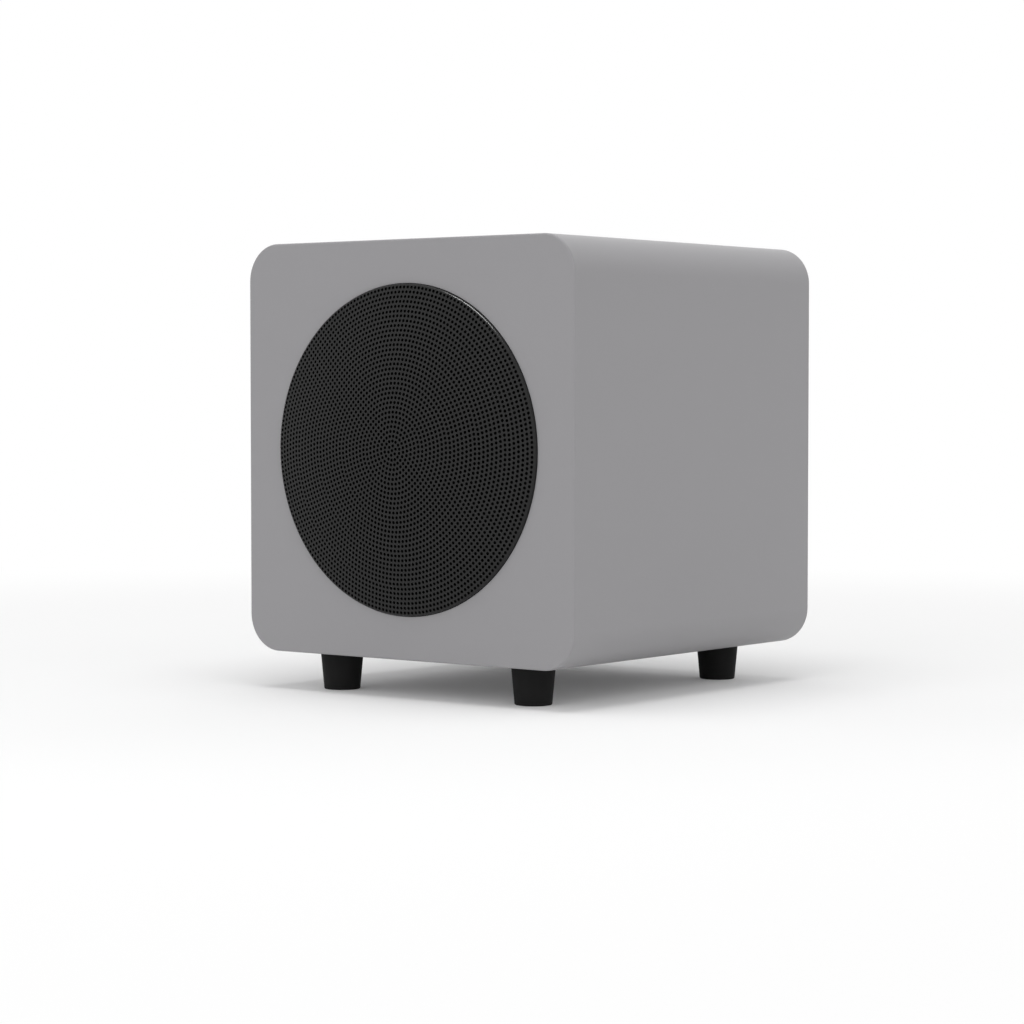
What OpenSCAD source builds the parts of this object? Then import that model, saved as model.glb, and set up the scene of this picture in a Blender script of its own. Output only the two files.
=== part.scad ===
// Compact cube subwoofer: painted cabinet, domed perforated grille, 6.5 inch driver and a rear plate
// amplifier with its controls. Millimetres, +Z up, the grille faces -Y, the feet stand on z = 0.

/* [Cabinet] */
// Width across the front
cab_w = 222; // [216:1:250]
// Height without the feet
cab_h = 222; // [216:1:250]
// Depth from the front face to the rear face
cab_d = 222; // [190:1:260]
// Radius of the four edges that run from front to back
edge_r = 20; // [16:1:26]
// Small chamfer around the front and rear perimeters
rim_edge = 1; // [0.6:0.1:2]
// Thickness of the top, bottom and side walls
wall_t = 15; // [12:1:16]
// Thickness of the painted front panel
front_t = 12; // [11:0.5:14]
// Thickness of the inner baffle that takes the driver screws
baffle_t = 12; // [11:1:16]
// Thickness of the rear panel
rear_t = 15; // [12:1:18]
// Thickness of the damping foam on the inner walls
foam_t = 10; // [6:1:14]

/* [Feet] */
// Height of each rubber foot
foot_h = 21; // [14:1:28]
// Diameter of a foot where it meets the cabinet
foot_top_d = 23.6; // [21:0.2:28]
// Diameter of a foot where it meets the floor
foot_bottom_d = 19.7; // [18:0.1:21]
// Distance of the foot centres from the cabinet sides
foot_inset_x = 45; // [40:1:60]
// Distance of the foot centres from the front and rear faces
foot_inset_y = 25; // [20:1:50]
// Shank diameter of the foot screws
foot_screw_d = 5; // [4:0.5:5.5]

/* [Grille] */
// Outer diameter of the pressed grille
grille_d = 175.2; // [173:0.2:180]
// Thickness of the steel sheet
grille_t = 1; // [0.8:0.1:1.2]
// Rise of the dome from its shoulder to its centre
dome_rise = 9.1; // [7:0.1:14]
// Height of the shoulder above the front face
rim_rise = 1.5; // [1:0.1:4]
// Radius of the shoulder between dome and skirt
shoulder_r = 1.5; // [1.3:0.1:2]
// Distance from one ring of holes to the next
hole_pitch = 10.3; // [10:0.1:14]
// Diameter of each hole in the grille
hole_d = 6; // [4:0.1:7]
// Plain border outside the last ring of holes
grille_border = 1.5; // [1:0.1:6]
// Depth of the seat that the skirt and its carrier ring stand in
seat_depth = 3; // [2.5:0.1:4]

/* [Driver] */
// Outer diameter of the basket flange
driver_d = 165; // [162:0.5:166]
// Thickness of the basket flange
flange_t = 4; // [3:0.5:4.5]
// Diameter of the cut-out in the inner baffle
cutout_d = 147; // [146:0.5:149]
// Number of driver screws
driver_screw_n = 8; // [4:1:8]
// Diameter of the bolt circle of the driver screws
bolt_circle_d = 157; // [156.5:0.1:157.4]
// Outer diameter of the paper cone
cone_d = 114; // [108:1:116]
// Depth of the cone from its edge to its neck
cone_depth = 24; // [20:1:26]
// Diameter of the dust cap
dust_cap_d = 42; // [38:1:60]
// Outer diameter of the voice coil former
former_d = 32.8; // [30:0.1:36]
// Greatest travel of the cone each way
cone_travel = 4; // [2:0.5:4.5]
// Diameter of the ferrite magnet
magnet_d = 90; // [82:1:110]
// Thickness of the ferrite magnet
magnet_t = 18; // [14:1:22]
// Diameter of the steel top plate and back plate
pole_plate_d = 80; // [76:1:82]
// Thickness of the steel top plate and back plate
pole_plate_t = 6; // [5:0.5:8]

/* [Amplifier panel] */
// Width of the panel
panel_w = 160; // [156:1:172]
// Height of the panel
panel_h = 166; // [162:1:180]
// Thickness of the panel
panel_t = 3; // [2:0.5:4]
// Thickness of the foam gasket behind the panel
panel_gasket_t = 1; // [0.8:0.1:2]
// Width of the panel edge that lies on the rear panel
panel_lap = 10; // [9:0.5:12]
// Shank diameter of the panel screws
panel_screw_d = 4; // [3:0.5:4]
// Height of the spacers that hold the circuit board
spacer_h = 16; // [15:1:22]

/* [Controls] */
// Diameter of the control knobs
knob_d = 18; // [15:0.5:24]
// Height of the control knobs
knob_h = 13; // [10:0.5:18]
// Diameter of the control shafts
shaft_d = 6; // [5:0.5:6]
// Travel of the phase switch lever
phase_travel = 4; // [3:0.5:5]
// Travel of the power mode lever each way from its middle place
mode_travel = 2.5; // [2:0.5:3.5]
// Angle that the mains rocker tilts each way from level
rocker_tilt = 12; // [8:1:12]
// Outer diameter of the line input sockets
rca_d = 8.3; // [8:0.1:8.6]
// Length that the fuse drawer pulls out
fuse_travel = 16; // [8:1:20]

/* [Hidden] */

// Fineness of the round forms
fine = 96;
small = 32;

// Clearances
fit_gap = 0.25;     // grille in its seat, flange in the front panel
screw_gap = 0.3;    // screw in a clearance hole
thread_gap = 0.05;  // screw in its own pilot hole
slide_gap = 0.4;    // moving piece in its guide
cut = 1;            // how far a cutter runs past a face

// Places of the main faces
axis_z = foot_h + cab_h / 2;
grille_reach = rim_rise + dome_rise;
knob_lift = 1.2;
rear_reach = knob_lift + knob_h;
front_y = grille_reach - (cab_d + grille_reach + rear_reach) / 2;
rear_y = front_y + cab_d;
inner_w = cab_w - 2 * wall_t;
inner_h = cab_h - 2 * wall_t;
inner_r_least = 2;
inner_r = max(edge_r - wall_t, inner_r_least);
pad_gap = 6;

// Cross recess of every screw, as shares of its head
recess_w = 0.56;
recess_t = 0.14;
recess_deep = 0.6;

// Rim and crown of a screw head, as shares of its height and width
head_rim = 0.55;
head_crown = 0.72;

// Feet and their screws
foot_edge = 1;
foot_recess_h = 9;
foot_recess_d = 11;
foot_washer_t = 1.2;
foot_head_d = 9;
foot_head_h = 3;
foot_screw_grip = 11;

// Grille
grille_r = grille_d / 2;
dome_r = (pow(grille_r, 2) + pow(dome_rise, 2)) / (2 * dome_rise);
hole_rings = floor((grille_r - grille_border - hole_d / 2) / hole_pitch);
ring_turn = -42;
dome_fine = 720;
carrier_w = 3.2;
carrier_drop = 0.2;

// Driver, measured from the front face of its flange with depth negative
driver_gasket_t = 1.5;
flange_z = flange_t + driver_gasket_t - front_t;
driver_r = driver_d / 2;
cutout_r = cutout_d / 2;
mouth_r = 68.5;
basket_wall = 2.5;
basket_clear = 1.5;
basket_depth = 48;
seat_reach = 7;
seat_r = pole_plate_d / 2 + seat_reach;
seat_t = 3;
seat_room = 7.6;
seat_bore_r = former_d / 2 + seat_room;
ledge_depth = 31;
ledge_t = 3;
ledge_r = 42;
window_n = 6;
window_angle = 42;
window_rib = 3;
driver_screw_d = 4;
driver_head_d = 7.2;
driver_head_h = 2.4;
driver_screw_grip = 10;
cone_r = cone_d / 2;
paper_t = 1;
cone_rim_w = 2;
cone_curve = 1.15;
cone_steps = 6;
surround_t = 1.2;
surround_lip_r = 74.2;
roll_r = (mouth_r - cone_r) / 2;
roll_mid = (mouth_r + cone_r) / 2;
trim_t = 2;
trim_gap = 0.6;
former_r = former_d / 2;
cone_slope_w = cone_r - cone_rim_w - former_r;
former_t = 0.4;
coil_t = 0.8;
coil_h = pole_plate_t + 2 * cone_travel;
gap_clear = 0.4;
gap_z = -(basket_depth + seat_t + pole_plate_t / 2);
former_bottom = gap_z - coil_h / 2;
neck_h = 3;
slope_t = paper_t * norm([cone_slope_w, cone_depth - neck_h]) / cone_slope_w;
spider_t = 1;
spider_wave = 1.2;
spider_waves = 3;
wave_steps = 8;
spider_flat = 3;
spider_lap = 7;
cap_rise = 8;
vent_d = 10;
magnet_z = -basket_depth - seat_t - pole_plate_t - magnet_t;
terminal_z = -basket_depth - seat_t;
terminal_w = 16;
terminal_l = 10;
terminal_root = 2;
tab_w = 4.8;
tab_t = 0.8;
tab_l = 9;
tab_gap = 8;

// Amplifier panel, seen from behind: x to the right, y up, z outwards from the panel face
panel_r = 4;
panel_gap = 0.5;
panel_seat = panel_t + panel_gasket_t;
opening_w = panel_w - 2 * panel_lap;
opening_h = panel_h - 2 * panel_lap;
panel_head_d = 7;
panel_head_h = 2;
panel_screw_l = 14;
volume_at = [-44, 56];
crossover_at = [0, 56];
phase_at = [42, 66];
mode_at = [42, 44];
light_at = [62, 55];
rca_at = [-34, 8];
rca_spread = 20;
inlet_at = [-36, -50];
rocker_at = [34, -50];
pot_d = 16;
pot_h = 8;
pot_floor = 1.5;
bushing_d = 7.6;
bushing_h = 4;
nut_w = 11;
nut_h = 2;
shaft_gap = 0.15;
shaft_lift = 0.5;
shaft_top = 10;
shaft_flat_y = shaft_d / 4;
shaft_flat_lift = 1;
knob_bevel = 0.8;
knob_taper = 0.4;
nut_clear = 1.4;
flute_n = 24;
flute_d = 2;
flute_out = 0.5;
flute_from = 2.5;
pointer_w = 1;
pointer_l = 6;
pointer_deep = 0.6;
dial_sweep = 300;
dial_step = 30;
dial_gap = 2.6;
dial_mark_d = 1.2;
dial_mark_deep = 0.4;
switch_w = 22;
switch_h = 10;
switch_t = 8;
switch_pocket = 5;
lever_w = 4.4;
lever_h = 4;
lever_out = 3;
lever_sink = 4.4;
lever_base = 3;
lever_base_t = 1.6;
lever_flange = 1;
groove_pitch = 1.3;
groove_w = 0.6;
groove_deep = 0.5;
rca_length = 9.5;
rca_wall = 0.9;
rca_pin_d = 3.4;
rca_pin_depth = 8;
rca_step = 0.25;
rca_collar = 1.5;
rca_block_t = 13;
rca_block_h = 16;
rca_nose = 0.8;
rca_insert_drop = 0.6;
light_d = 3;
light_nose = 0.4;
light_tail = 4;
light_rim = 0.6;
light_rim_t = 1.4;
inlet_w = 50;
inlet_h = 42;
inlet_t = 2.5;
inlet_r = 5;
inlet_body = [29, 37, 26];
socket_w = 24.2;
socket_h = 16.2;
socket_cut = 5;
socket_depth = 17;
socket_up = 8.5;
blade = [2, 4];
blade_l = 11;
blade_tail = 8;
blade_spread = 7;
blade_offset = 4;
inlet_screw_x = 20;
inlet_screw_d = 3;
inlet_screw_end = 4;
inlet_head_d = 5.6;
inlet_head_h = 1.8;
inlet_nut_w = 5.5;
inlet_nut_h = 2.4;
drawer_w = 24;
drawer_h = 8;
drawer_keep = 3;
drawer_l = fuse_travel + drawer_keep;
drawer_down = 12;
drawer_wall = 1.2;
drawer_face = [26, 10, 2];
notch = [8, 2];
notch_in = 0.8;
fuse_d = 5.2;
fuse_l = 20;
fuse_depth = 11;
fuse_room = 0.4;
rocker_w = 11.4;
rocker_half = 7.8;
rocker_rise = 4.2;
rocker_dip = 1.6;
rocker_pivot = -1;
rocker_skirt = 1;
rocker_hub = 4;
rocker_room = 1.3;
pivot_d = 2.4;
frame_w = 15;
frame_h = 22;
frame_t = 2;
frame_floor = 2;
frame_body = [13.6, 20.4, 15];

// Electronics behind the panel
board_z = -panel_t - spacer_h;
board_w = 128;
board_h = 80;
board_t = 1.6;
board_up = 31;
spacer_d = 6;
spacer_x = 60;
spacer_y = 34;
spacer_bore = 8;
board_screw_d = 3;
board_screw_grip = 7;
board_head_d = 5.6;
board_head_h = 2;
capacitor_d = 16;
capacitor_h = 30;
capacitor_at = [44, 14];
capacitor_step = 22;
transformer_at = [14, 26];
core = [34, 10, 26];
winding = [22, 30, 18];
winding_lift = 4;
sink_at = [-20, 40];
sink = [26, 44, 24];
sink_base_t = 4;
fin_n = 7;
fin_t = 1.4;
connector = [8, 16, 9];

// Leads from the driver terminals to the circuit board
lead_r = 1.3;
lead_bend = 0.1;
lead_start = 14;
lead_turn = 34;
lead_side = 6;
lead_droop = 14;

// Colours
paint = [0.6, 0.6, 0.61];
mdf = [0.62, 0.5, 0.36];
rubber = [0.1, 0.1, 0.1];
steel = [0.7, 0.7, 0.72];
black = [0.16, 0.16, 0.17];
alloy = [0.55, 0.56, 0.58];
paper = [0.2, 0.2, 0.21];
brass = [0.78, 0.65, 0.32];
copper = [0.72, 0.43, 0.26];
green = [0.1, 0.35, 0.2];
lit_green = [0.3, 0.7, 0.3];
white = [0.85, 0.85, 0.83];
red = [0.7, 0.12, 0.1];
foam = [0.45, 0.45, 0.44];

// ---- frames ----

// Places a piece on the front face: x right, y up, z out of the face
module on_front() {
  translate([0, front_y, axis_z]) rotate([90, 0, 0]) children();
}

// Places a piece on the face of the driver flange
module on_driver() {
  on_front() translate([0, 0, flange_z]) children();
}

// Places a piece on the amplifier panel face
module on_rear(at = [0, 0]) {
  translate([0, rear_y, axis_z]) rotate([90, 0, 180]) translate([at[0], at[1], 0]) children();
}

// A rounded rectangle around the origin
module rounded(w, h, r) {
  union() {
    square([w - 2 * r, h], center = true);
    square([w, h - 2 * r], center = true);
    for (x = [-1, 1], y = [-1, 1]) translate([x * (w / 2 - r), y * (h / 2 - r)]) circle(r, $fn = fine);
  }
}

// A straight bar of given size that stands on z = 0 and is centred in x and y
module block(size) {
  translate([-size[0] / 2, -size[1] / 2, 0]) cube(size);
}

// A ring that stands on z = 0
module ring(outer_r, inner_r, h) {
  linear_extrude(h) difference() {
    circle(outer_r, $fn = fine);
    circle(inner_r, $fn = fine);
  }
}

// A screw with its head on z = 0 and its shank below, and a cross recess in the head
module screw(head_d, head_h, shank_d, length) {
  rim_h = head_h * head_rim;
  difference() {
    union() {
      cylinder(d = head_d, h = rim_h, $fn = small);
      translate([0, 0, rim_h])
        cylinder(d1 = head_d, d2 = head_d * head_crown, h = head_h - rim_h, $fn = small);
      translate([0, 0, -length]) cylinder(d = shank_d, h = length, $fn = small);
    }
    for (a = [0, 90]) rotate(a) translate([0, 0, head_h * (1 - recess_deep)])
      block([head_d * recess_w, head_d * recess_t, head_h]);
  }
}

// A hexagon nut that stands on z = 0, with its width across the flats
module hex_nut(w, bore_d, h) {
  difference() {
    cylinder(d = w / cos(30), h = h, $fn = 6);
    translate([0, 0, -cut]) cylinder(d = bore_d + 2 * thread_gap, h = h + 2 * cut, $fn = small);
  }
}

// ---- cabinet ----

// The cabinet's outline in the XZ plane drawn out along Y
module sleeve(w, h, r, y0, depth) {
  translate([0, y0 + depth, axis_z]) rotate([90, 0, 0]) linear_extrude(depth) rounded(w, h, r);
}

// Bevel cutter for one end of the cabinet, with z = 0 on the end face and the cabinet below it
module rim_cutter() {
  flat_w = cab_w - 2 * edge_r;
  flat_h = cab_h - 2 * edge_r;
  module profile() {
    polygon([[edge_r - rim_edge, 0], [edge_r + cut, 0], [edge_r + cut, -rim_edge - cut],
      [edge_r, -rim_edge]]);
  }
  for (a = [0 : 3]) {
    w = a % 2 == 0 ? flat_w : flat_h;
    h = a % 2 == 0 ? flat_h : flat_w;
    rotate(90 * a) {
      translate([w / 2, h / 2, 0]) rotate_extrude(angle = 90, $fn = fine) profile();
      translate([w / 2, h / 2, 0]) rotate([90, 0, 0]) linear_extrude(h) profile();
    }
  }
}

module foot_places() {
  for (x = [-1, 1], y = [front_y + foot_inset_y, rear_y - foot_inset_y])
    translate([x * (cab_w / 2 - foot_inset_x), y, 0]) children();
}

module cabinet() {
  color(paint) difference() {
    sleeve(cab_w, cab_h, edge_r, front_y, cab_d);
    sleeve(inner_w, inner_h, inner_r, front_y + front_t, cab_d);
    on_front() {
      translate([0, 0, -seat_depth]) cylinder(r = grille_r + fit_gap, h = seat_depth + cut, $fn = fine);
      translate([0, 0, -front_t - cut])
        cylinder(r = driver_r + fit_gap, h = front_t + 2 * cut, $fn = fine);
      rim_cutter();
    }
    on_rear() rim_cutter();
    foot_places() translate([0, 0, foot_h - cut])
      cylinder(d = foot_screw_d + 2 * thread_gap, h = foot_screw_grip + cut, $fn = small);
  }
}

module driver_screw_places() {
  for (i = [0 : driver_screw_n - 1])
    rotate(360 / driver_screw_n * (i + 0.5)) translate([bolt_circle_d / 2, 0, 0]) children();
}

module front_baffle() {
  color(mdf) difference() {
    sleeve(inner_w, inner_h, inner_r, front_y + front_t, baffle_t);
    on_front() translate([0, 0, -front_t - baffle_t - cut])
      cylinder(r = cutout_r, h = baffle_t + 2 * cut, $fn = fine);
    on_driver() driver_screw_places()
      translate([0, 0, -flange_t - driver_gasket_t - driver_screw_grip])
        cylinder(d = driver_screw_d + 2 * thread_gap, h = driver_screw_grip + cut, $fn = small);
  }
}

module panel_screw_places() {
  x = panel_w / 2 - panel_lap / 2;
  y = panel_h / 2 - panel_lap / 2;
  for (sx = [-1, 1], sy = [-1, 0, 1]) translate([sx * x, sy * y, 0]) children();
  for (sx = [-1, 1], sy = [-1, 1]) translate([sx * x / 3, sy * y, 0]) children();
}

module rear_panel() {
  color(mdf) difference() {
    sleeve(inner_w, inner_h, inner_r, rear_y - rear_t, rear_t);
    on_rear() {
      translate([0, 0, -panel_seat])
        linear_extrude(panel_seat + cut)
          rounded(panel_w + 2 * panel_gap, panel_h + 2 * panel_gap, panel_r);
      translate([0, 0, -rear_t - cut])
        linear_extrude(rear_t + 2 * cut) rounded(opening_w, opening_h, panel_r);
      panel_screw_places() translate([0, 0, -panel_screw_l])
        cylinder(d = panel_screw_d + 2 * thread_gap, h = panel_screw_l, $fn = small);
    }
  }
}

module damping_pads() {
  y0 = front_y + front_t + baffle_t + pad_gap;
  pad_l = cab_d - front_t - baffle_t - rear_t - 2 * pad_gap;
  side_h = inner_h - 2 * foam_t - 2 * pad_gap;
  floor_w = inner_w - 2 * inner_r;
  color(foam) {
    translate([-floor_w / 2, y0, foot_h + wall_t]) cube([floor_w, pad_l, foam_t]);
    for (s = [-1, 1]) translate([s * (inner_w - foam_t) / 2, y0 + pad_l / 2, axis_z])
      cube([foam_t, pad_l, side_h], center = true);
  }
}

// ---- feet ----

module foot() {
  top_r = foot_top_d / 2;
  bottom_r = foot_bottom_d / 2;
  outline = [[0, 0], [bottom_r - foot_edge, 0], [bottom_r, foot_edge], [top_r, foot_h], [0, foot_h]];
  color(rubber) rotate_extrude($fn = fine) difference() {
    polygon(outline);
    square([foot_recess_d / 2, foot_recess_h]);
    square([foot_screw_d / 2 + screw_gap, foot_h]);
  }
}

module foot_at(side, end_y) {
  translate([side * (cab_w / 2 - foot_inset_x), end_y, 0]) foot();
}

module foot_front_left() {
  foot_at(-1, front_y + foot_inset_y);
}

module foot_front_right() {
  foot_at(1, front_y + foot_inset_y);
}

module foot_rear_left() {
  foot_at(-1, rear_y - foot_inset_y);
}

module foot_rear_right() {
  foot_at(1, rear_y - foot_inset_y);
}

module foot_washers() {
  color(steel) foot_places() translate([0, 0, foot_recess_h - foot_washer_t])
    ring(foot_recess_d / 2 - screw_gap, foot_screw_d / 2 + screw_gap, foot_washer_t);
}

module foot_screws() {
  head_z = foot_recess_h - foot_washer_t;
  color(steel) foot_places() translate([0, 0, head_z]) mirror([0, 0, 1])
    screw(foot_head_d, foot_head_h, foot_screw_d, foot_h + foot_screw_grip - head_z);
}

// ---- grille ----

// Half section of the pressed grille, brought in by the given amount on its outer side
module grille_section(inset, low) {
  r = grille_r - inset;
  big = dome_r - inset;
  bend = shoulder_r - inset;
  centre_z = grille_reach - dome_r;
  bend_z = centre_z + sqrt(pow(big - bend, 2) - pow(r - bend, 2));
  touch_r = (r - bend) * big / (big - bend);
  intersection() {
    translate([0, centre_z]) circle(big, $fn = dome_fine);
    translate([0, low]) square([touch_r, grille_reach - low]);
  }
  translate([r - bend, bend_z]) circle(bend, $fn = fine);
  translate([0, low]) square([r, bend_z - low]);
}

// The pressed steel sheet with its rings of round holes. Each ring holds about 2 pi holes more than
// the one inside it, so the pitch along a ring stays close to the pitch between the rings.
module grille() {
  color(black) on_front() difference() {
    rotate_extrude($fn = fine) difference() {
      grille_section(0, -seat_depth);
      grille_section(grille_t, -seat_depth - cut);
    }
    for (k = [1 : hole_rings]) {
      n = k == 1 ? 6 : 2 * ceil(PI * k);
      for (i = [0 : n - 1]) rotate(ring_turn + 360 / n * i) translate([k * hole_pitch, 0, 0])
        cylinder(d = hole_d, h = grille_reach + cut, $fn = small);
    }
  }
}

module grille_ring() {
  outer_r = grille_r - grille_t;
  color(rubber) on_front() translate([0, 0, -seat_depth])
    ring(outer_r, outer_r - carrier_w, seat_depth - carrier_drop);
}

// ---- driver ----

// Inner radius of the basket wall at a depth
function wall_r(depth) =
  mouth_r + (seat_r - basket_wall - mouth_r) * (depth - flange_t) / (basket_depth - flange_t);

module basket() {
  color(black) on_driver() difference() {
    rotate_extrude($fn = fine) polygon([
      [mouth_r, 0], [driver_r, 0], [driver_r, -flange_t], [cutout_r - basket_clear, -flange_t],
      [seat_r, -basket_depth], [seat_r, -basket_depth - seat_t], [seat_bore_r, -basket_depth - seat_t],
      [seat_bore_r, -basket_depth], [wall_r(basket_depth), -basket_depth],
      [wall_r(ledge_depth + ledge_t), -ledge_depth - ledge_t], [ledge_r, -ledge_depth - ledge_t],
      [ledge_r, -ledge_depth], [wall_r(ledge_depth), -ledge_depth], [mouth_r, -flange_t]]);
    for (i = [0 : window_n - 1]) rotate(360 / window_n * i - window_angle / 2) {
      rotate_extrude(angle = window_angle, $fn = fine) translate([ledge_r, window_rib - ledge_depth])
        square([cutout_r, ledge_depth - flange_t - 2 * window_rib]);
      rotate_extrude(angle = window_angle, $fn = fine) translate([ledge_r, window_rib - basket_depth])
        square([cutout_r, basket_depth - ledge_depth - ledge_t - 2 * window_rib]);
    }
    driver_screw_places() translate([0, 0, -flange_t - cut])
      cylinder(d = driver_screw_d + 2 * screw_gap, h = flange_t + 2 * cut, $fn = small);
  }
}

module driver_gasket() {
  color(foam) on_driver() translate([0, 0, -flange_t - driver_gasket_t]) difference() {
    ring(driver_r, cutout_r, driver_gasket_t);
    driver_screw_places() translate([0, 0, -cut])
      cylinder(d = driver_screw_d + 2 * screw_gap, h = driver_gasket_t + 2 * cut, $fn = small);
  }
}

module driver_screws() {
  length = flange_t + driver_gasket_t + driver_screw_grip;
  color(steel) on_driver() driver_screw_places()
    screw(driver_head_d, driver_head_h, driver_screw_d, length);
}

module trim_ring() {
  color(rubber) on_driver() translate([0, 0, surround_t])
    ring(surround_lip_r, mouth_r + surround_t / 2 + trim_gap, trim_t);
}

module surround() {
  color(rubber) on_driver() rotate_extrude($fn = fine) {
    translate([cone_r - cone_rim_w, 0]) square([cone_rim_w, surround_t]);
    translate([mouth_r, 0]) square([surround_lip_r - mouth_r, surround_t]);
    intersection() {
      translate([roll_mid, 0]) difference() {
        circle(roll_r + surround_t / 2, $fn = fine);
        circle(roll_r - surround_t / 2, $fn = fine);
      }
      square([driver_r, roll_r + surround_t]);
    }
  }
}

// Front surface of the cone at a radius
function cone_z(r) = -(cone_depth - neck_h) * pow((former_r + cone_slope_w - r) / cone_slope_w, cone_curve);

module cone() {
  neck_r = former_r + paper_t;
  radii = [for (i = [0 : cone_steps]) former_r + cone_slope_w * i / cone_steps];
  front = [for (r = radii) [r, cone_z(r)]];
  back = [for (i = [cone_steps : -1 : 1]) [radii[i], cone_z(radii[i]) - slope_t]];
  color(paper) on_driver() rotate_extrude($fn = fine) polygon(concat(
    front, [[cone_r, 0], [cone_r, -paper_t]], back,
    [[neck_r, cone_z(neck_r) - slope_t], [neck_r, -cone_depth], [former_r, -cone_depth]]));
}

module dust_cap() {
  r = dust_cap_d / 2;
  edge_z = cone_z(r);
  ball_r = (pow(r, 2) + pow(cap_rise, 2)) / (2 * cap_rise);
  color(black) on_driver() rotate_extrude($fn = fine) intersection() {
    translate([0, edge_z + cap_rise - ball_r]) difference() {
      circle(ball_r, $fn = fine);
      circle(ball_r - paper_t, $fn = fine);
    }
    translate([0, edge_z]) square([r, cap_rise]);
  }
}

module spider() {
  inner = former_r + spider_flat;
  wave_w = ledge_r - spider_flat / 2 - inner;
  outer = ledge_r + spider_lap;
  steps = spider_waves * wave_steps;
  wave = [for (i = [0 : steps])
    [inner + wave_w * i / steps, spider_wave * sin(360 * i / wave_steps)]];
  color(brass) on_driver() translate([0, 0, -ledge_depth]) rotate_extrude($fn = fine) polygon(concat(
    [[former_r, 0]], wave, [[outer, 0], [outer, spider_t]],
    [for (i = [steps : -1 : 0]) wave[i] + [0, spider_t]], [[former_r, spider_t]]));
}

module coil_former() {
  top = -cone_depth + neck_h;
  color(brass) on_driver() translate([0, 0, former_bottom])
    ring(former_r, former_r - former_t, top - former_bottom);
}

module voice_coil() {
  color(copper) on_driver() translate([0, 0, former_bottom]) ring(former_r + coil_t, former_r, coil_h);
}

module top_plate() {
  color(steel) on_driver() translate([0, 0, -basket_depth - seat_t - pole_plate_t])
    ring(pole_plate_d / 2, former_r + coil_t + gap_clear, pole_plate_t);
}

module magnet() {
  color(black) on_driver() translate([0, 0, magnet_z]) ring(magnet_d / 2, seat_bore_r, magnet_t);
}

module back_plate() {
  pole_r = former_r - former_t - gap_clear;
  color(steel) on_driver() translate([0, 0, magnet_z - pole_plate_t]) difference() {
    union() {
      cylinder(d = pole_plate_d, h = pole_plate_t, $fn = fine);
      cylinder(r = pole_r, h = 2 * pole_plate_t + magnet_t, $fn = fine);
    }
    translate([0, 0, -cut]) cylinder(d = vent_d, h = 2 * pole_plate_t + magnet_t + 2 * cut, $fn = small);
  }
}

module terminal_strip() {
  color(black) on_driver() translate([0, 0, terminal_z]) difference() {
    translate([seat_r - terminal_root, -terminal_w / 2, 0])
      cube([terminal_l + terminal_root, terminal_w, seat_t]);
    translate([0, 0, -cut]) cylinder(r = seat_r, h = seat_t + 2 * cut, $fn = fine);
  }
}

module terminal_tabs() {
  color(brass) on_driver() for (s = [-1, 1])
    translate([seat_r + terminal_l / 2, s * tab_gap / 2, terminal_z - tab_l]) block([tab_t, tab_w, tab_l]);
}

// ---- amplifier panel ----

module socket_outline() {
  w = socket_w / 2;
  h = socket_h / 2;
  polygon([[-w, -h], [w, -h], [w, h - socket_cut], [w - socket_cut, h], [socket_cut - w, h],
    [-w, h - socket_cut]]);
}

// A round cutter through the panel
module panel_bore(d) {
  translate([0, 0, -panel_t - cut]) cylinder(d = d, h = panel_t + 2 * cut, $fn = small);
}

// A straight cutter through the panel
module panel_slot(w, h) {
  translate([0, 0, -panel_t - cut]) block([w, h, panel_t + 2 * cut]);
}

// Small round marks on the panel around a knob, over its whole sweep
module dial_marks() {
  for (a = [-dial_sweep / 2 : dial_step : dial_sweep / 2])
    rotate(a) translate([0, knob_d / 2 + dial_gap, -dial_mark_deep])
      cylinder(d = dial_mark_d, h = dial_mark_deep + cut, $fn = small);
}

module amplifier_panel() {
  slot_h = lever_h + 2 * slide_gap;
  color(black) difference() {
    on_rear() translate([0, 0, -panel_t]) linear_extrude(panel_t) rounded(panel_w, panel_h, panel_r);
    pot_places() {
      panel_bore(bushing_d + screw_gap);
      dial_marks();
    }
    on_rear(phase_at) panel_slot(slot_w(phase_travel), slot_h);
    on_rear(mode_at) panel_slot(slot_w(2 * mode_travel), slot_h);
    on_rear(light_at) panel_bore(light_d + screw_gap);
    rca_places() panel_bore(rca_d + 2 * rca_collar + screw_gap);
    on_rear(inlet_at) panel_slot(inlet_body[0] + 2 * screw_gap, inlet_body[1] + 2 * screw_gap);
    inlet_screw_places() panel_bore(inlet_screw_d + 2 * screw_gap);
    on_rear(rocker_at) panel_slot(frame_body[0] + 2 * screw_gap, frame_body[1] + 2 * screw_gap);
    on_rear() panel_screw_places() panel_bore(panel_screw_d + 2 * screw_gap);
  }
}

module panel_gasket() {
  color(foam) on_rear() translate([0, 0, -panel_seat]) difference() {
    linear_extrude(panel_gasket_t) difference() {
      rounded(panel_w, panel_h, panel_r);
      rounded(opening_w, opening_h, panel_r);
    }
    panel_screw_places() translate([0, 0, -cut])
      cylinder(d = panel_screw_d + 2 * screw_gap, h = panel_gasket_t + 2 * cut, $fn = small);
  }
}

module panel_screws() {
  color(steel) on_rear() panel_screw_places()
    screw(panel_head_d, panel_head_h, panel_screw_d, panel_screw_l);
}

// ---- rotary controls ----

module pot_places() {
  for (at = [volume_at, crossover_at]) on_rear(at) children();
}

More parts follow.
